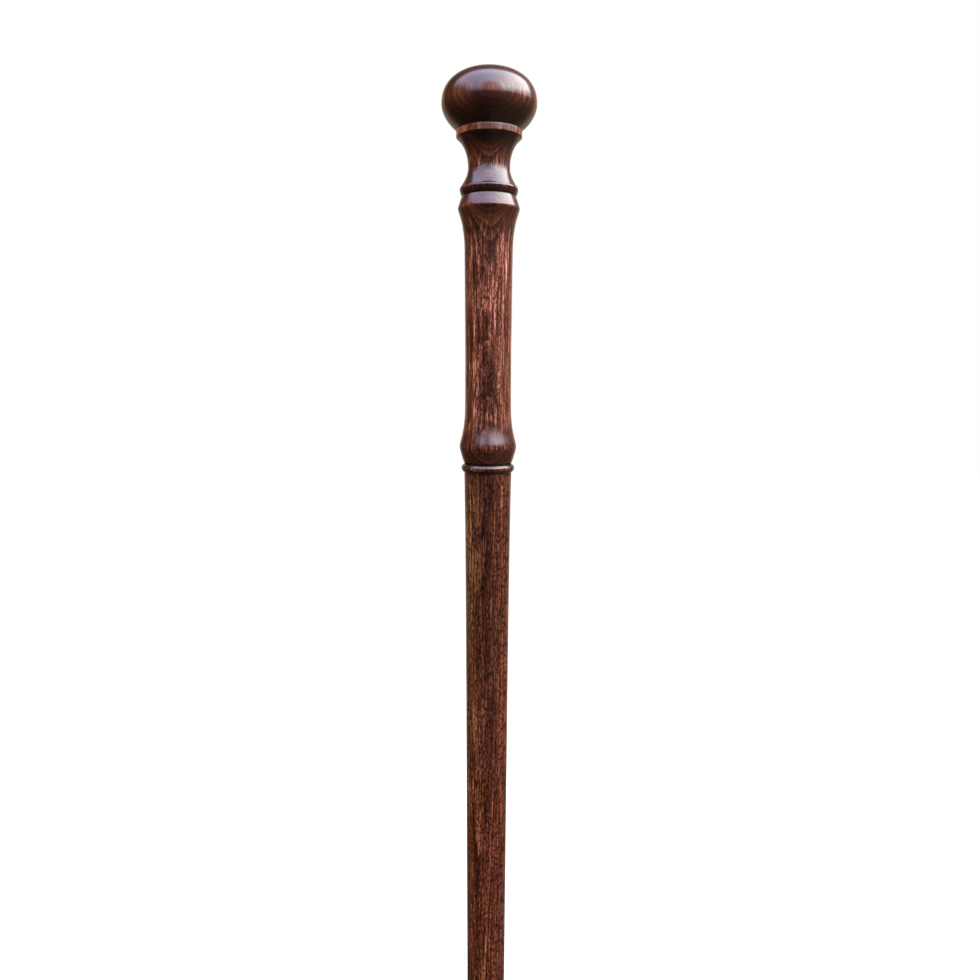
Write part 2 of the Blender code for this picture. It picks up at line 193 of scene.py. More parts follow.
def finished(name, bm, body, slot, *nodes):
    """Makes the piece's object, which rides on its body and stands for its solids of the frame."""
    mesh = bpy.data.meshes.new(name)
    bm.to_mesh(mesh)
    bm.free()
    mesh.shade_smooth()
    mesh.set_sharp_from_angle(angle=SHARP_ANGLE)
    piece = bpy.data.objects.new(name, mesh)
    bpy.context.scene.collection.objects.link(piece)
    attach(piece, body)
    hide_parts(*nodes)
    mesh.calc_loop_triangles()
    reach = max(v.co.x for v in mesh.vertices)
    print(f"{name}: {len(mesh.loop_triangles)} triangles, {reach * 2000:.2f} mm across")
    return piece


# %% [markdown]
# ## What the mesh knows about its wood
#
# The finish darkens a hollow and lightens a proud edge: stain gathers in the one and rubs off the other,
# and the darkening is also painted shade and the lightening a painted highlight. It darkens where the
# fibres end at the surface, because stain soaks deeper there, and this also paints shade on faces that
# turn up or down. The bores are left bare. These could be masks drawn on the mesh, but the mesh can
# tell them by itself: how sharply the faces round a point bend, how far its face looks along the stick,
# and whether it lies in the bore. Each is kept on the points as an attribute, and the bends are blurred a
# little.

# %% Mark hollows, edges, fibre ends and bores
BEND_SIZE = 0.0016
SMALLEST_AREA = 1e-12
BORE_MARGIN = 0.0001


def mark_bends(bm, passes=5):
    """Stores a value from -1 in a hollow to 1 on an edge."""
    layer = bm.verts.layers.float.new("bend")
    bent = {}
    for vert in bm.verts:
        area = sum(f.calc_area() / len(f.verts) for f in vert.link_faces)
        turn = sum(e.calc_face_angle_signed(0) * e.calc_length() for e in vert.link_edges) / 4
        bent[vert] = max(-1.0, min(1.0, turn / max(area, SMALLEST_AREA) * BEND_SIZE))
    bm.verts.index_update()
    values = np.array([bent[v] for v in bm.verts])
    ends = np.array([[v.index for v in e.verts] for e in bm.edges])
    around = np.bincount(ends.ravel(), minlength=len(values))
    for _ in range(passes):
        total = np.bincount(ends[:, 0], values[ends[:, 1]], len(values))
        total += np.bincount(ends[:, 1], values[ends[:, 0]], len(values))
        values = 0.5 * values + 0.5 * total / around
    for vert, value in zip(bm.verts, values):
        vert[layer] = value


def mark_wood(bm, bore_radius, mouth, depth):
    """Stores 1 in the bore, which is left as bare wood, and how far the fibres end at each point."""
    bare = bm.verts.layers.float.new("bare")
    fibre_ends = bm.verts.layers.float.new("fibre_ends")
    bm.normal_update()
    for vert in bm.verts:
        near_axis = math.hypot(vert.co.x, vert.co.y) < bore_radius + BORE_MARGIN
        vert[bare] = float(near_axis and abs(vert.co.z - mouth) < depth + BORE_MARGIN)
        vert[fibre_ends] = abs(vert.normal.z)


# %% [markdown]
# ## The knob
#
# The knob is a flattened ball, fuller above its widest ring than below it. A stretched sphere would
# be too even, so its crown and its underside are two superellipses that meet at the equator. The
# underside stops at the crease above the flange.

# %% Knob profile
HANDLE_LENGTH = 0.1967
KNOB_RADIUS = 0.0240
KNOB_CROWN_HEIGHT = 0.0171
KNOB_CROWN_FULLNESS = 2.30
KNOB_UNDERSIDE_HEIGHT = 0.0179
KNOB_UNDERSIDE_FULLNESS = 1.82
FLANGE_RADIUS = 0.0166
CREASE_DEPTH = 0.0004


equator = HANDLE_LENGTH - KNOB_CROWN_HEIGHT
crown = superellipse(KNOB_RADIUS, KNOB_CROWN_HEIGHT, KNOB_CROWN_FULLNESS, 0, QUARTER, count=44)
reached = math.asin(((FLANGE_RADIUS - CREASE_DEPTH) / KNOB_RADIUS) ** (KNOB_UNDERSIDE_FULLNESS / 2))
underside = superellipse(
    KNOB_RADIUS, KNOB_UNDERSIDE_HEIGHT, KNOB_UNDERSIDE_FULLNESS, QUARTER, reached, count=22
)
profile = [(x, equator + z) for x, z in crown]
profile += [(x, equator - z) for x, z in underside]
flange_top = HANDLE_SEAT + profile[-1][1]
print(f"knob: {len(profile)} points, the flange begins at {flange_top * 1000:.2f} mm")

# %% [markdown]
# ## The flange, the neck and the collar
#
# Below the knob a narrow band stands out, then a hollow neck with a small lip above it, then a collar
# with an undercut lower face. These are the cuts that make the outline, and an error of half a
# millimetre shows. The neck is a round cove down to its waist, and below that a straighter hollow that
# widens to the collar's rounded upper edge.

# %% Flange, neck and collar profile
FLANGE_HEIGHT = 0.0031
FLANGE_LIP = 0.0006
WAIST_RADIUS = 0.0106
COVE_WIDTH = 0.0102
COVE_HEIGHT = 0.0157
HOLLOW_HEIGHT = 0.01004
HOLLOW_START = 0.0036
HOLLOW_END = (0.00260, 0.0042)
COLLAR_RADIUS = 0.0148
COLLAR_EDGE_ROUND = 0.0004
COLLAR_EDGE_DROP = 0.0010
COLLAR_HEIGHT = 0.0043
COLLAR_FULLNESS = 1.5
GROOVE_RADIUS = 0.0136

crease = profile[-1][1] - CREASE_DEPTH
flange_end = crease - FLANGE_HEIGHT
profile += straight((FLANGE_RADIUS, crease), (FLANGE_RADIUS, flange_end), count=5)
turn = math.acos(1 - (FLANGE_RADIUS - FLANGE_LIP - WAIST_RADIUS) / COVE_WIDTH)
waist = flange_end - FLANGE_LIP - COVE_HEIGHT * math.sin(turn)
profile += cove(WAIST_RADIUS, waist, COVE_WIDTH, COVE_HEIGHT, turn, 0, count=22)
edge = (COLLAR_RADIUS - COLLAR_EDGE_ROUND, waist - HOLLOW_HEIGHT)
leaving = (WAIST_RADIUS, waist - HOLLOW_START)
meeting = (edge[0] - HOLLOW_END[0], edge[1] + HOLLOW_END[1])
profile += bezier((WAIST_RADIUS, waist), leaving, meeting, edge, count=20)
collar_top = HANDLE_SEAT + profile[-1][1]

widest = profile[-1][1] - COLLAR_EDGE_DROP
edge = superellipse(COLLAR_EDGE_ROUND, COLLAR_EDGE_DROP, 2, QUARTER / 4, QUARTER, count=6)
profile += [(COLLAR_RADIUS - COLLAR_EDGE_ROUND + x, widest + z) for x, z in edge]
width = COLLAR_RADIUS - GROOVE_RADIUS
height = COLLAR_HEIGHT - COLLAR_EDGE_DROP
under = superellipse(width, height, COLLAR_FULLNESS, QUARTER, 0, count=12)
profile += [(GROOVE_RADIUS + x, widest - z) for x, z in under]
print(f"neck: {len(profile)} points so far, the collar begins at {collar_top * 1000:.2f} mm")

# %% [markdown]
# ## The grip between its two bulges
#
# The hand holds the long, slightly hollow part. It swells into a bulge at each end, so that the hand
# doesn't slip. Each bulge is steep on its outer side and runs out slowly into the grip.

# %% Grip profile
UPPER_RADIUS = 0.0157
UPPER_RISE = 0.0060
UPPER_SHOULDER = 0.12
UPPER_FALL = 0.0221
UPPER_TAIL = 0.71
UPPER_CROWN = 0.10
GRIP_TOP_RADIUS = 0.0123
GRIP_HOLLOW = 0.00025
GRIP_END_RADIUS = 0.01195
LOWER_RADIUS = 0.01475
LOWER_RISE = 0.0214
LOWER_TAIL = 0.66
LOWER_CROWN = 0.15
LOWER_FALL = 0.0083
LOWER_SHOULDER = 0.18
HANDLE_END_RADIUS = 0.0126
HANDLE_END_CHAMFER = 0.0003

groove = profile[-1][1]
upper = (UPPER_RADIUS, groove - UPPER_RISE)
rise = UPPER_RADIUS - GROOVE_RADIUS
leaving = (UPPER_RADIUS - (1 - 2 * UPPER_SHOULDER) * rise, groove - UPPER_SHOULDER * UPPER_RISE)
meeting = (UPPER_RADIUS, upper[1] + UPPER_SHOULDER * UPPER_RISE)
profile += bezier((GROOVE_RADIUS, groove), leaving, meeting, upper, count=16)

top = (GRIP_TOP_RADIUS, upper[1] - UPPER_FALL)
end = (GRIP_END_RADIUS, LOWER_FALL + LOWER_RISE)
third = (top[1] - end[1]) / 3
hollow = ((top[0] - GRIP_HOLLOW, top[1] - third), (end[0] - GRIP_HOLLOW, end[1] + third))
lower = (LOWER_RADIUS, LOWER_FALL)
profile += swell(upper, top, UPPER_CROWN, UPPER_TAIL, count=26)
profile += bezier(top, *hollow, end, count=40)
profile += swell(end, lower, LOWER_TAIL, LOWER_CROWN, count=26)

fall = LOWER_RADIUS - HANDLE_END_RADIUS
leaving = (LOWER_RADIUS, (1 - LOWER_SHOULDER) * LOWER_FALL)
meeting = (HANDLE_END_RADIUS + LOWER_SHOULDER * fall, LOWER_SHOULDER * LOWER_FALL)
profile += bezier(lower, leaving, meeting, (HANDLE_END_RADIUS, HANDLE_END_CHAMFER), count=16)
profile += [(HANDLE_END_RADIUS - HANDLE_END_CHAMFER, 0)]
print(f"grip: {len(profile)} points so far")

# %% [markdown]
# ## The handle
#
# The whole handle is one billet, so it is one mesh: the profile runs from the crown down the outside
# and up again inside the stepped bore that holds the insert.

# %% Make the handle
INSERT_RECESS = (0.0078, 0.0015)
INSERT_BORE = (0.00605, 0.0158)
SCREW_RELIEF = (0.0043, 0.0180)
HANDLE_BORE_DEPTH = SCREW_RELIEF[1] + SCREW_RELIEF[0]
WOOD_EDGE = 0.00018

profile += [
    (INSERT_RECESS[0], 0),
    INSERT_RECESS,
    (INSERT_BORE[0], INSERT_RECESS[1]),
    INSERT_BORE,
    (SCREW_RELIEF[0], INSERT_BORE[1]),
    SCREW_RELIEF,
    (0, HANDLE_BORE_DEPTH),
]
bm = turned(profile, HANDLE_SEAT)
soften(bm, WOOD_EDGE)
mark_bends(bm)
mark_wood(bm, INSERT_RECESS[0], HANDLE_SEAT, HANDLE_BORE_DEPTH)
handle = finished("turned_handle", bm, "handle", "handle_wood", "handle")

# %% [markdown]
# ## The shaft
#
# The stick tapers evenly to its tip, with a short flare under the turned ring that hides the joint.
# The ring is drawn up to just under the washer, because the drawing's gap there would show as a wide
# black line. Its upper half slopes more evenly than a round bead, so that it catches a band of light.
# The stick's upper end has a bore for the screw.

# %% Bore and ring profile
SHAFT_LENGTH = SHAFT_TOP - SHAFT_SEAT
RING_RADIUS = 0.0138
RING_HEIGHT = 0.0038
RING_LIFT = 0.7 * (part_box("joint_washer")[0].z - SHAFT_TOP)
RING_SLOPE_SHARE = 0.40
RING_SLOPE_FULLNESS = 1.65
SHAFT_NECK_RADIUS = 0.0123
SHAFT_BODY_RADIUS = 0.0113
SHAFT_FLARE_LENGTH = 0.0960
FLARE_STEPS = 40
SHAFT_TIP_RADIUS = 0.0080
SHAFT_TIP_CHAMFER = 0.0010
SPIGOT_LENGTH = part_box("ferrule")[1].z - SHAFT_SEAT
SCREW_BORE_RADIUS = 0.0039
SHANK_BORE = (0.0043, 0.0043)
SCREW_BORE_DEPTH = 0.0383
SCREW_POINT_BORE = (0.0015, 0.0050)

bore_end = SHAFT_LENGTH - SCREW_BORE_DEPTH
shank_end = SHAFT_LENGTH - SHANK_BORE[1]
stick = [
    (0, bore_end),
    (SCREW_POINT_BORE[0], bore_end),
    (SCREW_BORE_RADIUS, bore_end + SCREW_POINT_BORE[1]),
    (SCREW_BORE_RADIUS, shank_end),
    (SHANK_BORE[0], shank_end),
    (SHANK_BORE[0], SHAFT_LENGTH + RING_LIFT),
]

stand = RING_RADIUS - SHAFT_NECK_RADIUS
height = RING_HEIGHT + RING_LIFT
slope_height = RING_SLOPE_SHARE * height
widest = SHAFT_LENGTH + RING_LIFT - slope_height
upper = superellipse(stand, slope_height, RING_SLOPE_FULLNESS, 0, QUARTER, count=10)
lower = superellipse(stand, height - slope_height, 2, QUARTER, 0, count=8)
stick += [(SHAFT_NECK_RADIUS + x, widest + z) for x, z in upper]
stick += [(SHAFT_NECK_RADIUS + x, widest - z) for x, z in lower]

# %% Make the shaft
flare_end = SHAFT_LENGTH - RING_HEIGHT - SHAFT_FLARE_LENGTH
slope = (SHAFT_BODY_RADIUS - SHAFT_TIP_RADIUS) / (flare_end - SPIGOT_LENGTH)
flare = SHAFT_NECK_RADIUS - SHAFT_BODY_RADIUS - slope * SHAFT_FLARE_LENGTH
for left in steps(1, 0, FLARE_STEPS)[1:]:
    climb = left * SHAFT_FLARE_LENGTH
    stick.append((SHAFT_BODY_RADIUS + slope * climb + flare * left**3, flare_end + climb))
spigot = (SHAFT_TIP_RADIUS, SPIGOT_LENGTH)
stick += straight((SHAFT_BODY_RADIUS, flare_end), spigot, count=90)
stick += straight(spigot, (SHAFT_TIP_RADIUS, SHAFT_TIP_CHAMFER), count=6)
stick += [(SHAFT_TIP_RADIUS - SHAFT_TIP_CHAMFER, 0), (0, 0)]
bm = turned(stick, SHAFT_SEAT)
soften(bm, WOOD_EDGE)
mark_bends(bm)
mark_wood(bm, SHANK_BORE[0], SHAFT_TOP, SCREW_BORE_DEPTH)
shaft = finished("turned_shaft", bm, "shaft", "shaft_wood", "shaft")

# %% [markdown]
# ## A thread
#
# The drawing has plain cylinders where the threads are. A thread is one short profile, a root, a
# flank, a crest and a flank, spun many times round while it climbs. Each turn's upper edge then lies
# on the next turn's lower edge, and merging joins them. The thread fades out towards both ends, where
# the tube is cut square, so that each end is a plain ring that other rings can grow from.

# %% Spin a thread
THREAD_AROUND = 48
SPARE_TURNS = 2
LEVEL = 1e-6
CUT = 1e-7


def loop_at(bm, height):
    """The open edges that lie at a height."""
    return [e for e in bm.edges if e.is_boundary and all(abs(v.co.z - height) < LEVEL for v in e.verts)]


def threaded_tube(bm, core, crest, pitch, low, high, crest_share, root_share, phase):
    """An open tube with a thread that fades over one turn at each end. Returns its two end rings."""
    flank = (1 - crest_share - root_share) / 2
    shape = [
        (core, 0),
        (core, root_share),
        (crest, root_share + flank),
        (crest, root_share + flank + crest_share),
        (core, 1),
    ]
    start = phase + math.floor((low - phase) / pitch - SPARE_TURNS) * pitch
    turns = math.ceil((high - start) / pitch) + SPARE_TURNS
    verts = [bm.verts.new((radius, 0, start + share * pitch)) for radius, share in shape]
    edges = [bm.edges.new(pair) for pair in zip(verts, verts[1:])]
    bmesh.ops.spin(
        bm, geom=verts + edges, cent=(0, 0, 0), axis=AXIS, dvec=(0, 0, pitch / THREAD_AROUND),
        angle=turns * math.tau, steps=turns * THREAD_AROUND,
    )
    bmesh.ops.remove_doubles(bm, verts=bm.verts, dist=3 * MERGE)
    for vert in bm.verts:
        radius = math.hypot(vert.co.x, vert.co.y)
        share = min(1, max(0, min(vert.co.z - low, high - vert.co.z) / pitch))
        share = share * share * (3 - 2 * share)
        scale = (core + (radius - core) * share) / radius
        vert.co.x *= scale
        vert.co.y *= scale
    for height, outwards in ((low, -1), (high, 1)):
        geom = [*bm.verts, *bm.edges, *bm.faces]
        bmesh.ops.bisect_plane(
            bm, geom=geom, dist=CUT, plane_co=(0, 0, height), plane_no=(0, 0, outwards), clear_outer=True
        )
    return loop_at(bm, low), loop_at(bm, high)


def next_ring(bm, ring, radius, height, hexagon=False):
    """Extrudes a ring of edges to another radius and height, round or six-sided."""
    made = bmesh.ops.extrude_edge_only(bm, edges=ring)["geom"]
    verts = {v for v in made if isinstance(v, bmesh.types.BMVert)}
    for vert in verts:
        angle = math.atan2(vert.co.y, vert.co.x)
        reach = radius
        if hexagon:
            reach /= math.cos((angle + math.pi / 6) % (math.pi / 3) - math.pi / 6)
        vert.co = (reach * math.cos(angle), reach * math.sin(angle), height)
    return [e for e in made if isinstance(e, bmesh.types.BMEdge) and set(e.verts) <= verts]


def joined(parts, bridges):
    """One closed bmesh from several, bridged between the open rings at each height."""
    whole = bmesh.new()
    for part in parts:
        carrier = bpy.data.meshes.new("carrier")
        part.to_mesh(carrier)
        part.free()
        whole.from_mesh(carrier)
        bpy.data.meshes.remove(carrier)
    for height in bridges:
        bmesh.ops.bridge_loops(whole, edges=loop_at(whole, height))
    bmesh.ops.remove_doubles(whole, verts=whole.verts, dist=MERGE)
    bmesh.ops.recalc_face_normals(whole, faces=whole.faces)
    print("open edges:", sum(not e.is_manifold for e in whole.edges))
    return whole


# %% [markdown]
# ## The joint screw
#
# The screw that joins the two halves has a machine thread on top, which the handle turns on, a short
# plain shank, and a coarse wood thread with a point, which stays in the shaft for good. The machine
# thread's crest and root sit on both sides of the drawing's mean diameter.

# %% Make the joint screw
SCREW_PITCH = 0.00125
SCREW_CORE = 0.00322
SCREW_CREST = 0.00392
SCREW_CREST_SHARE = 0.14
SCREW_ROOT_SHARE = 0.22
SCREW_TIP_CHAMFER = 0.0008
STUD_FOOT = 0.0002
SHANK_RADIUS = 0.0040
SHANK_LENGTH = 0.0040
SHANK_TAPER = 0.0008
WOOD_THREAD_PITCH = 0.0028
WOOD_THREAD_CORE = 0.0027
WOOD_THREAD_CREST = 0.0037
WOOD_THREAD_SHARES = (0.08, 0.46)
SCREW_POINT_LENGTH = 0.0050
SCREW_POINT_RADIUS = 0.0003
POINT_FADE = 0.8

shank_end = SHAFT_TOP - SHANK_LENGTH
stud = bmesh.new()
low_ring, high_ring = threaded_tube(
    stud, SCREW_CORE, SCREW_CREST, SCREW_PITCH, SHAFT_TOP + STUD_FOOT, SCREW_TIP - SCREW_TIP_CHAMFER,
    SCREW_CREST_SHARE, SCREW_ROOT_SHARE, HANDLE_SEAT,
)
tip = next_ring(stud, high_ring, SCREW_CORE - SCREW_TIP_CHAMFER, SCREW_TIP)
bmesh.ops.contextual_create(stud, geom=tip)
ring = next_ring(stud, low_ring, SCREW_CORE, SHAFT_TOP)
ring = next_ring(stud, ring, SHANK_RADIUS, SHAFT_TOP)
next_ring(stud, ring, SHANK_RADIUS, shank_end)

root = bmesh.new()
low_ring, high_ring = threaded_tube(
    root, WOOD_THREAD_CORE, WOOD_THREAD_CREST, WOOD_THREAD_PITCH,
    SCREW_SEAT + SCREW_POINT_LENGTH * POINT_FADE, shank_end - SHANK_TAPER,
    *WOOD_THREAD_SHARES, SCREW_SEAT,
)
point = next_ring(root, low_ring, SCREW_POINT_RADIUS, SCREW_SEAT)
bmesh.ops.contextual_create(root, geom=point)
next_ring(root, high_ring, WOOD_THREAD_CORE, shank_end)
bm = joined((stud, root), [shank_end])
joint_screw = finished("joint_screw_threaded", bm, "shaft", "steel", "joint_screw")

# %% [markdown]
# ## The insert
#
# A brass insert with a flange is driven into the handle's lower end by a six-sided key. Its inner
# thread is the screw's own shape with a little air round it, at the same phase, so the two mesh at
# rest and at every turn of the joint. Its outer thread is coarse and bites into the wood.

# %% Make the insert
INSERT_FLANGE_RADIUS = 0.0075
INSERT_FLANGE_THICKNESS = 0.0012
INSERT_LENGTH = 0.0155
INSERT_CORE = 0.0051
INSERT_CREST = 0.00573
INSERT_THREAD_PITCH = 0.0030
INSERT_THREAD_SHARES = (0.10, 0.40)
INSERT_HEX_RADIUS = 0.0041
INSERT_HEX_DEPTH = 0.0030
INSERT_EDGE_CHAMFER = 0.0004
THREAD_AIR = 0.00015

top = HANDLE_SEAT + INSERT_LENGTH
hex_end = HANDLE_SEAT + INSERT_HEX_DEPTH
crest_start = (1 + SCREW_ROOT_SHARE - SCREW_CREST_SHARE) / 2 * SCREW_PITCH
inner = bmesh.new()
low_ring, _ = threaded_tube(
    inner, SCREW_CREST + THREAD_AIR, SCREW_CORE + THREAD_AIR, SCREW_PITCH, hex_end, top,
    SCREW_ROOT_SHARE, SCREW_CREST_SHARE, HANDLE_SEAT + crest_start,
)
wall = next_ring(inner, low_ring, INSERT_HEX_RADIUS, hex_end, hexagon=True)
next_ring(inner, wall, INSERT_HEX_RADIUS, HANDLE_SEAT, hexagon=True)

flange_end = HANDLE_SEAT + INSERT_FLANGE_THICKNESS
outer = bmesh.new()
low_ring, _ = threaded_tube(
    outer, INSERT_CORE, INSERT_CREST, INSERT_THREAD_PITCH, flange_end, top,
    *INSERT_THREAD_SHARES, HANDLE_SEAT,
)
ring = next_ring(outer, low_ring, INSERT_FLANGE_RADIUS, flange_end)
ring = next_ring(outer, ring, INSERT_FLANGE_RADIUS, HANDLE_SEAT + INSERT_EDGE_CHAMFER)
next_ring(outer, ring, INSERT_FLANGE_RADIUS - INSERT_EDGE_CHAMFER, HANDLE_SEAT)
bm = joined((inner, outer), [HANDLE_SEAT, top])
insert = finished("threaded_insert", bm, "handle", "brass", "handle_insert")

# %% [markdown]
# ## The washers
#
# A thin rubber washer takes up the last fraction of a turn and shows as a dark line above the ring.
# A steel disc in the ferrule keeps the end of the stick from cutting through the rubber.

# %% Make the washers
WASHER_BORE = 0.0043
WASHER_EDGE = 0.00014
low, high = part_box("joint_washer")
bm = turned([(WASHER_BORE, high.z), (high.x, high.z), (high.x, low.z), (WASHER_BORE, low.z)], closed=True)
soften(bm, WASHER_EDGE)
joint_washer = finished("joint_washer_rubber", bm, "washer", "washer_rubber", "joint_washer")

DISH_RADIUS = 0.004
DISH_DEPTH = 0.0002
DISC_EDGE = 0.0002
low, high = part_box("ferrule_washer")
upper_face = [(0, high.z), (high.x, high.z)]
bm = turned(upper_face + [(high.x, low.z), (DISH_RADIUS, low.z), (0, low.z + DISH_DEPTH)])
soften(bm, DISC_EDGE)
ferrule_disc = finished("ferrule_disc", bm, "ferrule", "steel", "ferrule_washer")

# %% [markdown]
# ## The ferrule
#
# The rubber tip is moulded, so it has soft edges, a bead round its mouth, three gripping ribs on its
# barrel, a bell-shaped foot with rings under it, and a faint line where the two halves of the mould
# met. The line is made by pushing out the points of one column on each side.

# %% Ferrule profile
FERRULE_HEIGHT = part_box("ferrule")[1].z
FERRULE_FLOOR = 0.0120
SOCKET_RADIUS = 0.0083
SOCKET_CHAMFER = 0.0006
RIM_RADIUS = 0.0122
RIM_HEIGHT = 0.0044
BARREL_TOP_RADIUS = 0.0107
BARREL_END_RADIUS = 0.0119
BARREL_END_HEIGHT = 0.0190
RIB_HEIGHTS = (0.0324, 0.0282, 0.0240)
RIB_WIDTH = 0.0024
RIB_STAND = 0.0008
FOOT_RADIUS = 0.0170
FOOT_HEIGHT = 0.0050
FOOT_ROUND = 0.0010
TREAD_GROOVES = ((0.0132, 0.0116), (0.0094, 0.0078), (0.0056, 0.0040))
TREAD_DEPTH = 0.0015


rim_end = FERRULE_HEIGHT - RIM_HEIGHT
slope = (BARREL_END_RADIUS - BARREL_TOP_RADIUS) / (rim_end - BARREL_END_HEIGHT)
rubber = [
    (0, FERRULE_FLOOR),
    (SOCKET_RADIUS, FERRULE_FLOOR),
    (SOCKET_RADIUS, FERRULE_HEIGHT - SOCKET_CHAMFER),
    (SOCKET_RADIUS + SOCKET_CHAMFER, FERRULE_HEIGHT),
]
middle = FERRULE_HEIGHT - RIM_HEIGHT / 2
stand = RIM_RADIUS - BARREL_TOP_RADIUS
rubber += half_round(BARREL_TOP_RADIUS, middle, stand, RIM_HEIGHT, count=16)
for height in RIB_HEIGHTS:
    barrel = BARREL_TOP_RADIUS + slope * (rim_end - height)
    rubber += half_round(barrel, height, RIB_STAND, RIB_WIDTH, count=12)
width = FOOT_RADIUS - FOOT_ROUND - BARREL_END_RADIUS
height = BARREL_END_HEIGHT - FOOT_HEIGHT
rubber += cove(BARREL_END_RADIUS, BARREL_END_HEIGHT, width, height, 0, -QUARTER, count=18)
rubber += [(FOOT_RADIUS, FOOT_HEIGHT - FOOT_ROUND), (FOOT_RADIUS, FOOT_ROUND)]
rubber += [(FOOT_RADIUS - FOOT_ROUND, 0)]
for outer, inner in TREAD_GROOVES:
    rubber += [(outer, 0), (outer, TREAD_DEPTH), (inner, TREAD_DEPTH), (inner, 0)]
rubber += [(0, 0)]

# %% Make the ferrule
RUBBER_EDGE = 0.00022
MOULD_LINE = 0.00012
MOULD_INSET = 0.0002
bm = turned(rubber)
soften(bm, RUBBER_EDGE)
for vert in bm.verts:
    radius = math.hypot(vert.co.x, vert.co.y)
    outside = radius > BARREL_TOP_RADIUS - MOULD_INSET and vert.co.z > FOOT_ROUND
    if outside and abs(vert.co.y) < MERGE:
        vert.co.x *= 1 + MOULD_LINE / radius
mark_bends(bm, passes=2)
ferrule = finished("rubber_ferrule", bm, "ferrule", "ferrule_rubber", "ferrule")

# %% [markdown]
# ## Small helpers for finishes
#
# Each finish is a tree of nodes. Most steps are the same few: a noise stretched to the size of a
# feature, a sum, and a ramp of tones. With a helper for each, a finish reads as a list of what the
# eye sees. Sizes are given in metres, because every pattern reads the object's own coordinates.

# %% Node helpers
NORTH = (0.0, 0.0, 0.0)
WHITE = (1.0, 1.0, 1.0)


def feed(node, **inputs):
    """Links or sets a node's inputs, given by name or, as i0, i1 and so on, by place."""
    for name, value in inputs.items():
        place = int(name[1:]) if name[0] == "i" and name[1:].isdigit() else name.replace("_", " ")
        socket = node.inputs[place]
        if isinstance(value, bpy.types.NodeSocket):
            node.id_data.links.new(value, socket)
        else:
            socket.default_value = (*value, 1.0) if socket.type == "RGBA" else value


def add(kind, settings=None, tree=None, **inputs):
    """A new node, in the tree that its linked inputs come from."""
    sources = [value for value in inputs.values() if isinstance(value, bpy.types.NodeSocket)]
    node = (tree or sources[0].id_data).nodes.new("ShaderNode" + kind)
    for name, value in (settings or {}).items():
        setattr(node, name, value)
    feed(node, **inputs)
    return node


def calc(operation, first, second=0.0, third=0.0):
    return add("Math", {"operation": operation}, i0=first, i1=second, i2=third).outputs[0]


def times(first, second):
    return calc("MULTIPLY", first, second)


def scaled(value, scale, offset):
    """The value times the scale, plus the offset."""
    return calc("MULTIPLY_ADD", value, scale, offset)


def within(value, low, high, out_low=0.0, out_high=1.0):
    """The value taken from one range to another, with soft ends."""
    settings = {"interpolation_type": "SMOOTHSTEP"}
    ends = {"From_Min": low, "From_Max": high, "To_Min": out_low, "To_Max": out_high}
    return add("MapRange", settings, Value=value, **ends).outputs[0]


def xyz(place):
    return add("SeparateXYZ", Vector=place).outputs


def vector(operation, **inputs):
    return add("VectorMath", {"operation": operation}, **inputs).outputs


def length(place):
    return vector("LENGTH", i0=place)["Value"]


def off_axis(place):
    """How far a place is from the upright axis."""
    return length(vector("MULTIPLY", i0=place, i1=(1.0, 1.0, 0.0))[0])


def sized(place, size, centre=NORTH, turn=NORTH):
    """Coordinates in which one unit is one feature of the size."""
    settings = {"vector_type": "TEXTURE"}
    made = add("Mapping", settings, Vector=place, Location=centre, Rotation=turn, Scale=size)
    return made.outputs[0]


def distance(place, centre, size):
    """How far a place is from a centre, where 1 is one size away."""
    return length(sized(place, size, centre))


def noise(place, size, centre=NORTH, detail=2.0, turn=NORTH):
    """A noise whose features have the size: Fac is grey, from 0 to 1, and Color is one for each axis."""
    space = sized(place, size, centre, turn)
    return add("TexNoise", Vector=space, Scale=1.0, Detail=detail, Roughness=0.55).outputs


def moved(place, pushes, reach):
    """A place pushed about by a noise, so that straight patterns waver."""
    return vector("MULTIPLY_ADD", i0=pushes["Color"], i1=reach, i2=place)[0]


def marked(place, name):
    """A value that the mesh keeps on its points."""
    return add("Attribute", {"attribute_name": name}, place.id_data).outputs["Fac"]


def tones(value, *stops):
    """A ramp of colours or greys."""
    node = add("ValToRGB", Fac=value)
    ramp = node.color_ramp
    while len(ramp.elements) < len(stops):
        ramp.elements.new(1.0)
    for element, (position, colour) in zip(ramp.elements, stops):
        element.position = position
        shade = (colour,) * 3 if isinstance(colour, float) else colour
        element.color = (*shade, 1.0)
    return node.outputs[0]


def blended(kind, share, first, second):
    """Two colours mixed."""
    settings = {"data_type": "RGBA", "blend_type": kind}
    return add("Mix", settings, i0=share, i6=first, i7=second).outputs[2]


def washed(colour, wash, share=1.0):
    """A colour multiplied by a wash, as far as the share says."""
    return blended("MULTIPLY", share, colour, wash)


def new_finish(name):
    made = bpy.data.materials.new(name)
    made.use_nodes = True
    tree = made.node_tree
    return made, tree.nodes["Principled BSDF"], add("TexCoord", tree=tree).outputs["Object"]


def dress(finish, *pieces):
    for piece in pieces:
        piece.data.materials.append(finish)
        print(f"{piece.name}: {finish.name}, {len(finish.node_tree.nodes)} nodes")


# %% [markdown]
# ## Growth layers
#
# The cane is a pale, close-grained wood under a dark red-brown stain and a semi-gloss varnish. A
# picture of wood wrapped round it would break at the knob, where the real grain closes into rings.
# So the wood is a solid pattern: growth layers that the lathe has cut through. They are nearly flat
# layers, curved round a pith far behind the stick, so each turned form shows its own figure by
# itself: a bull's-eye on the knob, arches on the bulges and long streaks on the grip. A knot pushes
# the layers about, and the same rings open round it. The handle has a small one in its grip and a
# wide, faint one above the lower bulge.

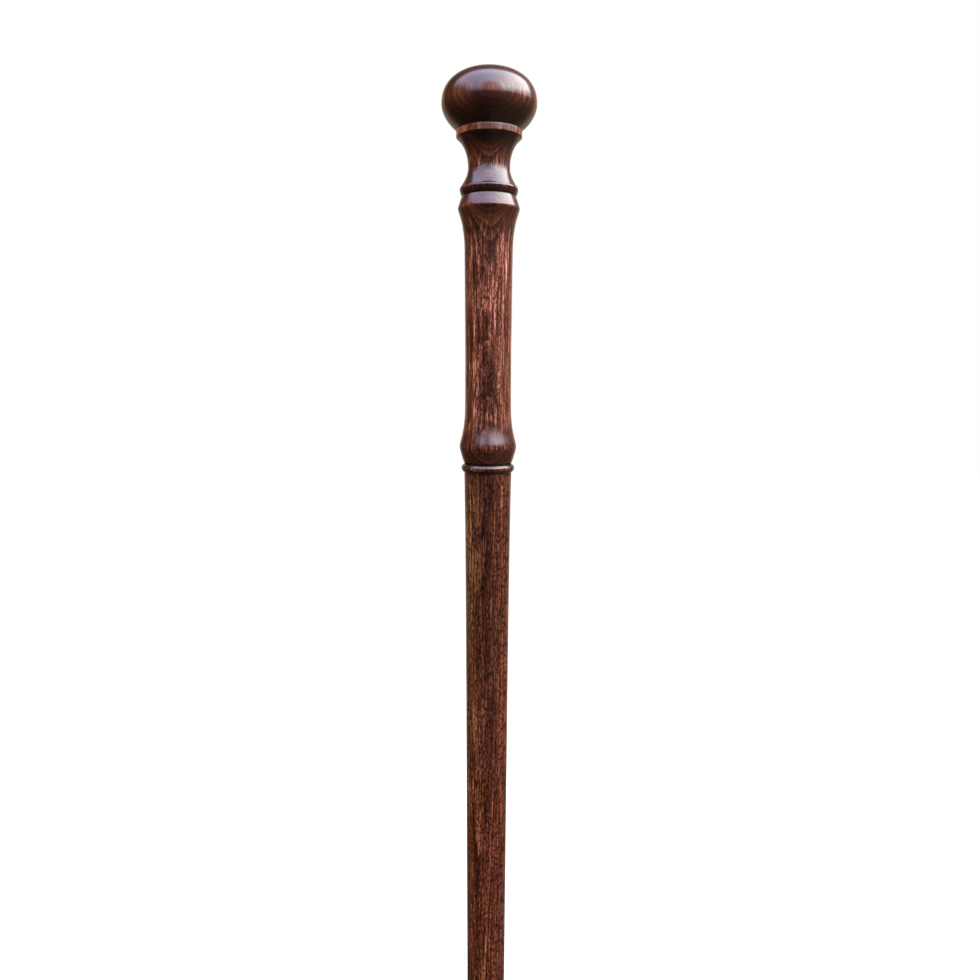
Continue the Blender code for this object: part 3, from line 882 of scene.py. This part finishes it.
# %% Growth layers
LAYER = 0.00092
PITH_DISTANCE = 0.090
ENDLESS = 1000.0
SWAY_SIZE = (0.016, 0.016, 0.060)
SWAY_REACH = (1.5, 1.5, 0.0)
RIPPLE_SIZE = (0.0022, 0.0022, 0.014)
RIPPLE_REACH = (0.45, 0.45, 0.0)
FIBRE_REACH = (0.0014, 0.0014, 0.0)
ONE_YEAR = ((0.0, 0.62), (0.12, 0.95), (0.30, 0.62), (0.62, 0.40), (0.90, 0.05), (1.0, 0.62))


def growth_layers(place, azimuth, tilt, height, seed, knots):
    """Growth layers that face the azimuth, a tone of its own for each, and a wavering place."""
    turn = (math.radians(tilt), 0.0, math.radians(azimuth))
    pith = Matrix.Rotation(turn[2], 3, "Z") @ Vector((0, PITH_DISTANCE, 0))
    sway = noise(place, SWAY_SIZE, (seed, 0, 0))
    ripple = noise(place, RIPPLE_SIZE, (seed, 0.1, 0))
    flat = sized(place, (LAYER, LAYER, ENDLESS), (pith.x, pith.y, height), turn)
    flat = moved(flat, sway, SWAY_REACH)
    depth = length(moved(flat, ripple, RIPPLE_REACH))
    for centre, size, push in knots:
        depth = scaled(within(distance(place, centre, size), 1.0, 0.0), push, depth)
    own = add("TexWhiteNoise", {"noise_dimensions": "1D"}, W=calc("FLOOR", depth))
    layer = tones(calc("FRACT", depth), *ONE_YEAR)
    return layer, own.outputs["Value"], moved(place, ripple, FIBRE_REACH)


# %% [markdown]
# ## Fibres, specks and clouds
#
# On top of the layers come fine fibres along the stick, longer streaks, short specks, small dark
# flecks where the rays are cut across, and clouds where the stain took unevenly. All are noises of
# different sizes. The fibres lean a little, because a noise that runs straight down the stick can
# show as one ruled line. They fade where the lathe has cut across them. On the knob the rings of the
# layers take their place, but on its right side the real one shows upright streaks.

# %% Read the grain
FIBRE_SIZE = (0.00080, 0.00080, 0.027)
FIBRE_LEAN = (0.015, 0.010, 0.35)
STREAK_SIZE = (0.0024, 0.0024, 0.045)
SPECK_SIZE = (0.0007, 0.0007, 0.0020)
CLOUD_SIZE = (0.010, 0.010, 0.022)
FLECK_SIZE = (0.00060, 0.0050, 0.0020)
HUE_SIZE = (0.0030, 0.0030, 0.030)
KNOB_REACH = (0.0148, 0.0178)
KNOB_RIGHT = (0.002, 0.012)
KNOB_CONTRAST = 0.34


def read_grain(place, azimuth, tilt, height, seed, flecked, knots):
    """Every pattern of the wood at a place. Flecks show most nearer the middle than flecked."""
    layer, own, bent = growth_layers(place, azimuth, tilt, height, seed, knots)
    facing = (0, 0, math.radians(azimuth))
    cloud = noise(place, CLOUD_SIZE, (seed, 0.4, 0))
    fleck = noise(bent, FLECK_SIZE, (seed, 0.5, 0), turn=facing)["Fac"]
    side = xyz(place)["X"]
    on_knob = within(off_axis(place), *KNOB_REACH)
    right = within(side, *KNOB_RIGHT)
    fibre_ends = marked(place, "fibre_ends")
    ringed = times(on_knob, scaled(right, -0.65, 1.0))
    along = within(fibre_ends, 0.04, 0.36, 1.0, 0.08)
    along = times(along, scaled(ringed, -0.78, 1.0))
    patchy = within(cloud["Fac"], 0.62, 0.42, 0.0, 0.5)
    faded = times(on_knob, calc("MAXIMUM", patchy, times(right, 0.75)))
    cut_across = within(calc("ABSOLUTE", side), flecked, 0.4 * flecked, 0.35, 1.0)
    return SimpleNamespace(
        layer=layer,
        own=own,
        fibre=noise(bent, FIBRE_SIZE, (seed, 0.2, 0), 3.0, FIBRE_LEAN)["Fac"],
        streak=noise(bent, STREAK_SIZE, (seed, 0.3, 0))["Fac"],
        speck=noise(bent, SPECK_SIZE, (seed, 0.7, 0))["Fac"],
        hue=noise(bent, HUE_SIZE, (seed, 0.6, 0))["Fac"],
        cloud=cloud,
        fleck=times(within(fleck, 0.52, 0.58), times(along, cut_across)),
        side=side,
        along=along,
        soaked_and_shaded=within(fibre_ends, 0.02, 0.62),
        contrast=scaled(faded, -KNOB_CONTRAST, KNOB_CONTRAST),
    )


# %% [markdown]
# ## Where the stain took more or less
#
# Some places are lighter, darker or redder than the rest. Each is a wash: a colour that the stain is
# multiplied by, and a mask that says where. Some washes are the wood's own, such as the knot, and some
# are painted light, shade and reflection, each named where it stands. Three kinds of mask are enough: a
# zone between two heights, a wavering band up the middle, and a soft spot.

# %% Masks
BAND_SIDE = 0.0035
BAND_WAVER = (0.006, 0.0, 0.0)
BAND_WAVER_SIZE = (0.02, 0.02, 0.045)
BAND_CORE = 0.0010
SPOT_CORE = 0.6


def height_zone(place, low, high, soft):
    """The part of the stick between two heights."""
    height = xyz(place)["Z"]
    above = within(height, low - soft, low + soft)
    return times(above, within(height, high + soft, high - soft))


def middle_band(place, low, high, reach):
    """A wavering band along the front and the back of the stick, above a height."""
    spot_at = xyz(moved(place, noise(place, BAND_WAVER_SIZE), BAND_WAVER))
    away = calc("ABSOLUTE", calc("SUBTRACT", spot_at["X"], BAND_SIDE))
    return times(within(away, reach, BAND_CORE), within(spot_at["Z"], low, high))


def spot(place, centre, size):
    """The wood round a centre."""
    return within(distance(place, centre, size), 1.0, SPOT_CORE)


# %% [markdown]
# ## Stain
#
# The patterns add up to one tone, and a ramp turns the tone into a colour. After that the colour is only
# washed: by hue, by flecks, where end grain has soaked it up, which also paints shade on faces that turn
# up or down, by painted side light that differs from the left side to the right, by each wash of the
# list, by painted shade in hollows and a painted highlight on edges, over the stain that gathers and
# rubs off there. The bores are raw wood.

# %% Stain
LAYER_MEAN = 0.45
COOL_HUE = (0.98, 0.93, 1.10)
WARM_HUE = (1.03, 1.04, 0.90)
FLECK_WASH = (0.24, 0.17, 0.16)
SOAKED_STAIN_AND_SHADE = (0.36, 0.29, 0.27)
HOLLOW_STAIN_AND_SHADE = (0.30, 0.25, 0.24)
EDGE_WEAR_AND_HIGHLIGHT = (1.7, 1.8, 1.8)
RAW_WOOD = (0.42, 0.25, 0.15)


def wood_tone(wood, grain):
    tone = within(wood.fibre, 0.50, 0.64, 0.0, 0.26)
    for pattern, strength in zip((wood.fibre, wood.streak, wood.speck), grain):
        tone = scaled(calc("SUBTRACT", pattern, 0.5), strength, tone)
    tone = times(tone, wood.along)
    tone = scaled(wood.own, 0.22, tone)
    tone = scaled(calc("SUBTRACT", wood.layer, LAYER_MEAN), wood.contrast, tone)
    tone = scaled(wood.cloud["Fac"], 0.40, tone)
    return calc("ADD", tone, 0.065)


def base_colour_with_painted_light(place, wood, bare, ramp, grain, painted_side_light, stain_and_light_washes):
    base_colour = tones(wood_tone(wood, grain), *ramp)
    hue = blended("MIX", within(wood.hue, 0.36, 0.64), COOL_HUE, WARM_HUE)
    base_colour = washed(base_colour, hue)
    base_colour = washed(base_colour, FLECK_WASH, wood.fleck)
    # Where the fibres end the colour is darker: stain soaked into end grain, and painted shade on the
    # faces that turn up or down, such as the knob's underside.
    base_colour = washed(base_colour, SOAKED_STAIN_AND_SHADE, wood.soaked_and_shaded)
    # Painted side light: the left and the right side are lightened, each with its own colour.
    base_colour = washed(base_colour, blended("MIX", within(wood.side, -0.011, 0.011), *painted_side_light))
    for mask, limits, wash in stain_and_light_washes:
        base_colour = washed(base_colour, wash, mask(place, *limits))
    bend = marked(place, "bend")
    # Painted shade: the hollows are darkened, together with the stain that gathers in them.
    base_colour = washed(base_colour, HOLLOW_STAIN_AND_SHADE, within(bend, -0.05, -0.7))
    # Painted highlight: the proud edges are lightened, together with the stain rubbed off them.
    base_colour = washed(base_colour, EDGE_WEAR_AND_HIGHLIGHT, within(bend, 0.10, 0.8))
    return blended("MIX", bare, base_colour, RAW_WOOD)


# %% [markdown]
# ## Varnish
#
# The varnish is the shader's coat. It lies thinner over flecks and over the soft part of each layer,
# and there is none in the bores. The heart of the bull's-eye is the soft wood round the middle of the
# knob: redder, and so thirsty that the varnish hardly shines on it. Fibres and layers leave a relief
# of a few hundredths of a millimetre, which is enough to break up the edges of a highlight.

# %% Stained wood
HEART_WAVER = (0.003, 0.0, 0.003)
HEART_WASH = (2.5, 2.3, 1.9)
HEART_COLOUR = (0.15, 0.050, 0.028)
RELIEF = 0.00002


def stained_wood(name, ramp, grain, painted_side_light, stain_and_light_washes, heart=None, **growth):
    """A finish of solid grain. The grain is how strong fibres, streaks and specks are."""
    finish, shader, place = new_finish(name)
    wood = read_grain(place, **growth)
    bare = marked(place, "bare")
    base_colour = base_colour_with_painted_light(place, wood, bare, ramp, grain, painted_side_light, stain_and_light_washes)
    film = scaled(wood.fleck, -0.4, scaled(wood.layer, 0.18, 0.84))
    film = times(film, calc("SUBTRACT", 1.0, bare))
    if heart:
        near = distance(moved(place, wood.cloud, HEART_WAVER), *heart)
        near = within(near, 1.30, 0.60)
        warm = blended("MIX", 0.4, washed(base_colour, HEART_WASH), HEART_COLOUR)
        base_colour = blended("MIX", near, base_colour, warm)
        film = times(film, scaled(near, -0.60, 1.0))

    relief = scaled(wood.fibre, 0.6, times(wood.streak, 0.5))
    relief = times(relief, wood.along)
    relief = scaled(wood.fleck, -0.35, relief)
    relief = scaled(wood.layer, 0.2, relief)
    bump = add("Bump", Strength=1.0, Distance=RELIEF, Height=relief).outputs[0]
    rough = scaled(bare, 0.4, scaled(wood.fibre, 0.25, 0.33))
    feed(
        shader, Base_Color=base_colour, Roughness=rough, Specular_IOR_Level=0.12, Normal=bump,
        Coat_Weight=film, Coat_Roughness=0.11, Coat_IOR=1.58, Coat_Normal=bump,
    )
    return finish


# %% [markdown]
# ## Two billets
#
# The handle and the shaft were cut from different pieces of wood, as the photograph shows, so each has
# its own way round, its own tones and its own washes. The numbers were found by measuring the same
# places in the photograph and in a render, and then changing one thing at a time.

# %% The handle's wood
HANDLE_RAMP = (
    (0.0, (0.014, 0.0026, 0.0008)),
    (0.25, (0.045, 0.0105, 0.0036)),
    (0.50, (0.125, 0.036, 0.0160)),
    (0.75, (0.250, 0.092, 0.046)),
    (1.0, (0.46, 0.205, 0.122)),
)
KNOTS = (
    ((-0.0012, -0.0120, 0.7750), (0.0075, 0.0120, 0.0150), 3.2),
    ((0.0, -0.0120, 0.7480), (0.0300, 0.0300, 0.0180), 2.4),
)
HANDLE_STAIN_AND_LIGHT_WASHES = (
    # Painted light: the grip between the bulges is lightened.
    (height_zone, (0.742, 0.834, 0.009), (1.57, 1.71, 2.04)),
    (height_zone, (0.788, 0.828, 0.012), (1.14, 1.13, 1.11)),
    (height_zone, (0.839, 0.886, 0.003), (0.88, 0.87, 0.90)),
    (height_zone, (0.722, 0.739, 0.003), (0.82, 0.80, 0.90)),
    # Painted sheen: a soft spot on the grip's right side is lightened.
    (spot, ((0.0115, -0.0040, 0.7920), (0.0110, 0.0200, 0.0500)), (1.10, 1.08, 1.13)),
    (middle_band, (0.737, 0.747, 0.0090), (0.72, 0.68, 0.64)),
    (spot, ((-0.0012, -0.0120, 0.7730), (0.0048, 0.0120, 0.0120)), (0.62, 0.56, 0.56)),
    (spot, ((-0.0102, -0.0060, 0.7880), (0.0034, 0.0200, 0.0560)), (0.72, 0.67, 0.66)),
    # Painted light: the flange's band is lightened, most on its left side.
    (height_zone, (flange_top - 0.0034, flange_top - 0.0004, 0.0002), (1.46, 1.48, 1.62)),
    (spot, ((-0.0140, -0.0080, flange_top - 0.0019), (0.0060, 0.0100, 0.0021)), (1.62, 1.62, 1.85)),
    # Painted shade: the collar's face and its undercut are darkened.
    (height_zone, (collar_top - 0.0046, collar_top - 0.0010, 0.0003), (0.42, 0.40, 0.45)),
)
handle_wood = stained_wood(
    "handle_wood", azimuth=0, tilt=-2.4, height=0.904, seed=0.0, flecked=0.0095,
    ramp=HANDLE_RAMP, grain=(1.35, 0.75, 0.95), painted_side_light=((1.10, 1.06, 0.98), (1.15, 1.10, 1.20)),
    stain_and_light_washes=HANDLE_STAIN_AND_LIGHT_WASHES, knots=KNOTS, heart=((0.0018, -0.0240, 0.9056), (0.0054, 0.0060, 0.0023)),
)
dress(handle_wood, handle)

# %% The shaft's wood
SHAFT_RAMP = (
    (0.0, (0.012, 0.0022, 0.0006)),
    (0.25, (0.040, 0.0095, 0.0032)),
    (0.50, (0.100, 0.0290, 0.0130)),
    (0.75, (0.190, 0.070, 0.034)),
    (1.0, (0.33, 0.150, 0.088)),
)
SHAFT_STAIN_AND_LIGHT_WASHES = (
    (middle_band, (0.515, 0.570, 0.0075), (0.54, 0.45, 0.45)),
    # Painted reflection: the ring is made bluer and less red, for the lilac light that it reflects.
    (height_zone, (SHAFT_TOP - 0.0038, SHAFT_TOP - 0.0006, 0.0003), (0.80, 0.90, 1.30)),
    (height_zone, (-0.10, 0.58, 0.060), (1.17, 0.99, 0.98)),
    # Painted side light: soft spots on the shaft's right and left sides are lightened.
    (spot, ((0.0100, -0.0040, 0.6050), (0.0046, 0.0200, 0.0600)), (1.40, 1.40, 1.42)),
    (spot, ((-0.0062, -0.0040, 0.6850), (0.0050, 0.0200, 0.0500)), (1.62, 1.92, 2.15)),
)
shaft_wood = stained_wood(
    "shaft_wood", azimuth=-24, tilt=-0.8, height=0.600, seed=3.0, flecked=0.030,
    ramp=SHAFT_RAMP, grain=(0.62, 0.16, 1.18), painted_side_light=((1.34, 1.48, 1.24), (1.40, 1.24, 1.28)),
    stain_and_light_washes=SHAFT_STAIN_AND_LIGHT_WASHES, knots=(),
)
dress(shaft_wood, shaft)

# %% [markdown]
# ## Rubber and metal
#
# The rubber is nearly black, dull, with dust in its hollows and paler patches. The steel is plated and
# clouded in places, and the brass is plain turned brass. Both have fine marks round the axis.

# %% Rubber
def rubber(name, colour, dust, gloss):
    finish, shader, place = new_finish(name)
    skin = noise(place, (0.0004,) * 3, detail=3.0)["Fac"]
    patch = noise(place, (0.006,) * 3, detail=3.0)["Fac"]
    dusty = times(within(marked(place, "bend"), 0.05, -0.5), within(patch, 0.35, 0.65))
    paler = tuple(c * 1.6 for c in colour)
    colour = blended("MIX", within(patch, 0.3, 0.7, 0.0, 0.5), colour, paler)
    feed(
        shader, Base_Color=blended("MIX", dusty, colour, dust), Specular_IOR_Level=gloss,
        Roughness=within(patch, 0.3, 0.7, 0.50, 0.68),
        Normal=add("Bump", Strength=0.6, Distance=0.00003, Height=skin).outputs[0],
    )
    return finish


dress(rubber("ferrule_rubber", (0.020, 0.0195, 0.019), (0.075, 0.070, 0.062), gloss=0.5), ferrule)
dress(rubber("washer_rubber", (0.006, 0.0045, 0.0045), (0.012, 0.009, 0.009), gloss=0.1), joint_washer)


# %% Metal
def turned_metal(name, bright, dull, rough):
    finish, shader, place = new_finish(name)
    marks = noise(place, (0.004, 0.004, 0.00008))["Fac"]
    clouded = noise(place, (0.0022,) * 3, detail=3.0)["Fac"]
    feed(
        shader, Metallic=1.0, Roughness=scaled(marks, 0.25, rough),
        Base_Color=tones(within(clouded, 0.3, 0.7), (0.0, dull), (1.0, bright)),
        Normal=add("Bump", Strength=0.5, Distance=0.00001, Height=marks).outputs[0],
    )
    return finish


dress(turned_metal("steel", (0.62, 0.63, 0.65), (0.46, 0.46, 0.46), rough=0.20), joint_screw, ferrule_disc)
dress(turned_metal("brass", (0.78, 0.56, 0.24), (0.55, 0.36, 0.14), rough=0.22), insert)

# %% [markdown]
# ## The studio
#
# The cane is shown before plain white. The surround is white by its own light for the camera and for
# reflections, so no lamp has to be turned up for it, and it lights the wood only a little. The floor
# keeps the soft shadow of the cane: near the foot it is lit, and further out it is plain white.

# %% Surround
WORLD_LIGHT = 0.07


def seen_directly(tree):
    """1 for what the camera, a reflection or glass sees, 0 for the light that falls on things."""
    rays = add("LightPath", tree=tree).outputs
    seen = calc("MAXIMUM", rays["Is Camera Ray"], rays["Is Glossy Ray"])
    return calc("MAXIMUM", seen, rays["Is Transmission Ray"])


world = bpy.data.worlds.new("white_room")
bpy.context.scene.world = world
world.use_nodes = True
tree = world.node_tree
strength = within(seen_directly(tree), 0.0, 1.0, WORLD_LIGHT, 1.0)
feed(tree.nodes["Background"], Color=WHITE, Strength=strength)
print(f"{world.name}: lights the cane with {WORLD_LIGHT}")


def stage_object(name, bm, material):
    mesh = bpy.data.meshes.new(name)
    bm.to_mesh(mesh)
    bm.free()
    mesh.materials.append(material)
    made = bpy.data.objects.new(name, mesh)
    bpy.context.scene.collection.objects.link(made)
    made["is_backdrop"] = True
    print(f"{name}: {len(mesh.polygons)} faces")
    return made


# %% Floor
FLOOR_REACH = 8.0
FLOOR_DROP = 0.0002
FLOOR_GREY = (0.36, 0.36, 0.36)


def floor_finish():
    finish, shader, place = new_finish("pale_floor")
    far = within(length(place), 0.25, 1.2, 0.50, 1.0)
    feed(
        shader, Base_Color=FLOOR_GREY, Roughness=0.9, Specular_IOR_Level=0.0,
        Emission_Color=WHITE, Emission_Strength=times(seen_directly(place.id_data), far),
    )
    return finish


bm = bmesh.new()
bmesh.ops.create_circle(bm, cap_ends=True, segments=64, radius=FLOOR_REACH)
bmesh.ops.translate(bm, verts=bm.verts, vec=(0, 0, -FLOOR_DROP))
floor = stage_object("floor", bm, floor_finish())
floor.visible_diffuse = False

# %% [markdown]
# ## The dark tent
#
# Varnish on dark wood shows whatever stands round it, and in a white room it would turn milky. A
# photographer builds a dark tent round such a piece, out of the picture, with soft windows in it.
# Here the tent is a dome that only reflections see. Its light was worked out from the photograph: the
# mirror direction was found for points on the turned forms, and the bright ones lie overhead, from
# far left to far right, whitest on the right. A place in the dome is told by its angles from the
# zenith, across to the right and away to the back, in degrees.

# %% Tent
TENT_RADIUS = 5.0
TENT_CENTRE = 0.80
TENT_FLOOR = 0.001 - TENT_CENTRE
TENT_STEPS = 40
LEFT_END = (-66, -40)
RIGHT_END = (90, 58)
FRONT_END = (80, 59)
REAR_END = (22, 4)
COOL_LIGHT = (1.00, 1.0, 1.46)
WHITE_LIGHT = (1.00, 1.0, 1.05)
WARM_RIM = (1.0, 0.76, 0.58)


def window_light(across, back, from_top):
    """The soft window overhead: brighter to the right, fading at its four ends, with a dip in front."""
    rear = scaled(within(across, 5, 42), -16.0, back)
    bright = scaled(within(across, -35, 25), 2.6, 2.7)
    bright = scaled(within(across, 12, 50), 3.6, bright)
    for angle, end in ((across, LEFT_END), (across, RIGHT_END), (from_top, FRONT_END), (rear, REAR_END)):
        bright = times(bright, within(angle, *end))
    middle = calc("ABSOLUTE", calc("ADD", across, 3.0))
    gap = times(within(middle, 16, 5), within(back, -44, -60))
    return times(bright, scaled(gap, -0.6, 1.0))


def tent_finish():
    finish, shader, place = new_finish("soft_tent")
    way = vector("NORMALIZE", i0=place)[0]
    ways = xyz(way)
    from_top = calc("DEGREES", calc("ARCCOSINE", ways["Z"]))
    spread = calc("DIVIDE", from_top, calc("MAXIMUM", off_axis(way), 0.0001))
    across = times(ways["X"], spread)
    bright = window_light(across, times(ways["Y"], spread), from_top)
    dim = within(across, -60, 90, 0.05, 0.16)
    dim = scaled(within(ways["Y"], 0.60, 0.84), 0.42, dim)
    lilac = blended("MIX", within(across, -30, 50), COOL_LIGHT, WHITE_LIGHT)
    feed(
        shader, Base_Color=(0.0, 0.0, 0.0), Specular_IOR_Level=0.0,
        Emission_Color=blended("MIX", within(bright, 0.1, 1.2), WARM_RIM, lilac),
        Emission_Strength=calc("ADD", bright, dim),
    )
    return finish


lowest = math.acos(TENT_FLOOR / TENT_RADIUS)
arc = [(TENT_RADIUS * math.sin(a), TENT_RADIUS * math.cos(a)) for a in steps(0, lowest, TENT_STEPS)]
tent = stage_object("soft_tent", turned(arc + [(0, TENT_FLOOR)], around=96), tent_finish())
tent.location.z = TENT_CENTRE
tent.visible_camera = False
tent.visible_diffuse = False
tent.visible_transmission = False
tent.visible_volume_scatter = False
tent.visible_shadow = False

# %% [markdown]
# ## Lamps
#
# The tent's windows are only seen in reflections, so lamps in about the same places light the cane: a
# wide, soft one in front, a little to the left, a brighter one on the right, and two weak, low ones on
# the left and at the back, which lift the outlines. Each is told by the direction that it stands in,
# and its power is worked out from its brightness and its size, so that it can be moved freely.

# %% Lamps
LAMP_AIM = Vector((0, 0, 0.80))


def window(name, azimuth, elevation, distance, width, height, brightness, colour):
    """A soft lamp that faces the cane. The azimuth is 0 in front and 90 on the right."""
    lamp = bpy.data.lights.new(name, "AREA")
    lamp.shape = "RECTANGLE"
    lamp.size = width
    lamp.size_y = height
    lamp.energy = brightness * math.pi * width * height
    lamp.color = colour
    made = bpy.data.objects.new(name, lamp)
    across, up = math.radians(azimuth), math.radians(elevation)
    way = Vector((math.cos(up) * math.sin(across), -math.cos(up) * math.cos(across), math.sin(up)))
    made.location = LAMP_AIM + distance * way
    made.rotation_euler = way.to_track_quat("Z", "Y").to_euler()
    made.visible_glossy = False
    bpy.context.scene.collection.objects.link(made)
    print(f"{name}: {lamp.energy:.0f} W")


window("window_front", -22, 46, 2.2, 2.6, 1.6, 3.9, (1.00, 0.97, 1.00))
window("window_right", 72, 42, 2.0, 1.6, 1.6, 8.0, (1.00, 0.98, 0.97))
window("window_left", -64, 20, 2.0, 1.6, 1.6, 2.0, (1.00, 0.98, 0.94))
window("window_back", 180, 24, 2.2, 2.4, 1.4, 3.0, (1.00, 0.98, 0.94))

# %% [markdown]
# ## The camera
#
# The photograph was taken from a little above the middle of the cane, close by, tilted down. Its lens
# and distance follow from how the turned rings open up from eye level to the edges of the picture.

# %% Camera
SENSOR_WIDTH = 36.0
FOCAL_PIXELS = 900
PICTURE_PIXELS = 980
LOOK_DOWN = 6.5
ROLL = 0.25

camera_data = bpy.data.cameras.new("camera")
camera_data.sensor_width = SENSOR_WIDTH
camera_data.lens = SENSOR_WIDTH * FOCAL_PIXELS / PICTURE_PIXELS
camera_data.clip_start = 0.01
camera = bpy.data.objects.new("camera", camera_data)
bpy.context.scene.collection.objects.link(camera)
camera.location = (0.0012, -0.470, 0.7623)
tilt = Euler((math.radians(90 - LOOK_DOWN), 0, 0)).to_matrix()
camera.rotation_euler = (tilt @ Matrix.Rotation(math.radians(ROLL), 3, "Z")).to_euler()
bpy.context.scene.camera = camera
bpy.context.scene.view_settings.view_transform = "Standard"
print(f"camera: {camera_data.lens:.1f} mm lens, {camera.location.z * 1000:.0f} mm above the ground")

# %% [markdown]
# ## The dressed cane
#
# The dressed cane has to stay inside the drawing's box. Every piece rides on a body of the frame. The
# box round the dressed cane is printed, in millimetres.

# %% Finish
low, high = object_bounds()
print("dressed", [round(v * 1000, 2) for v in (*low, *high)])
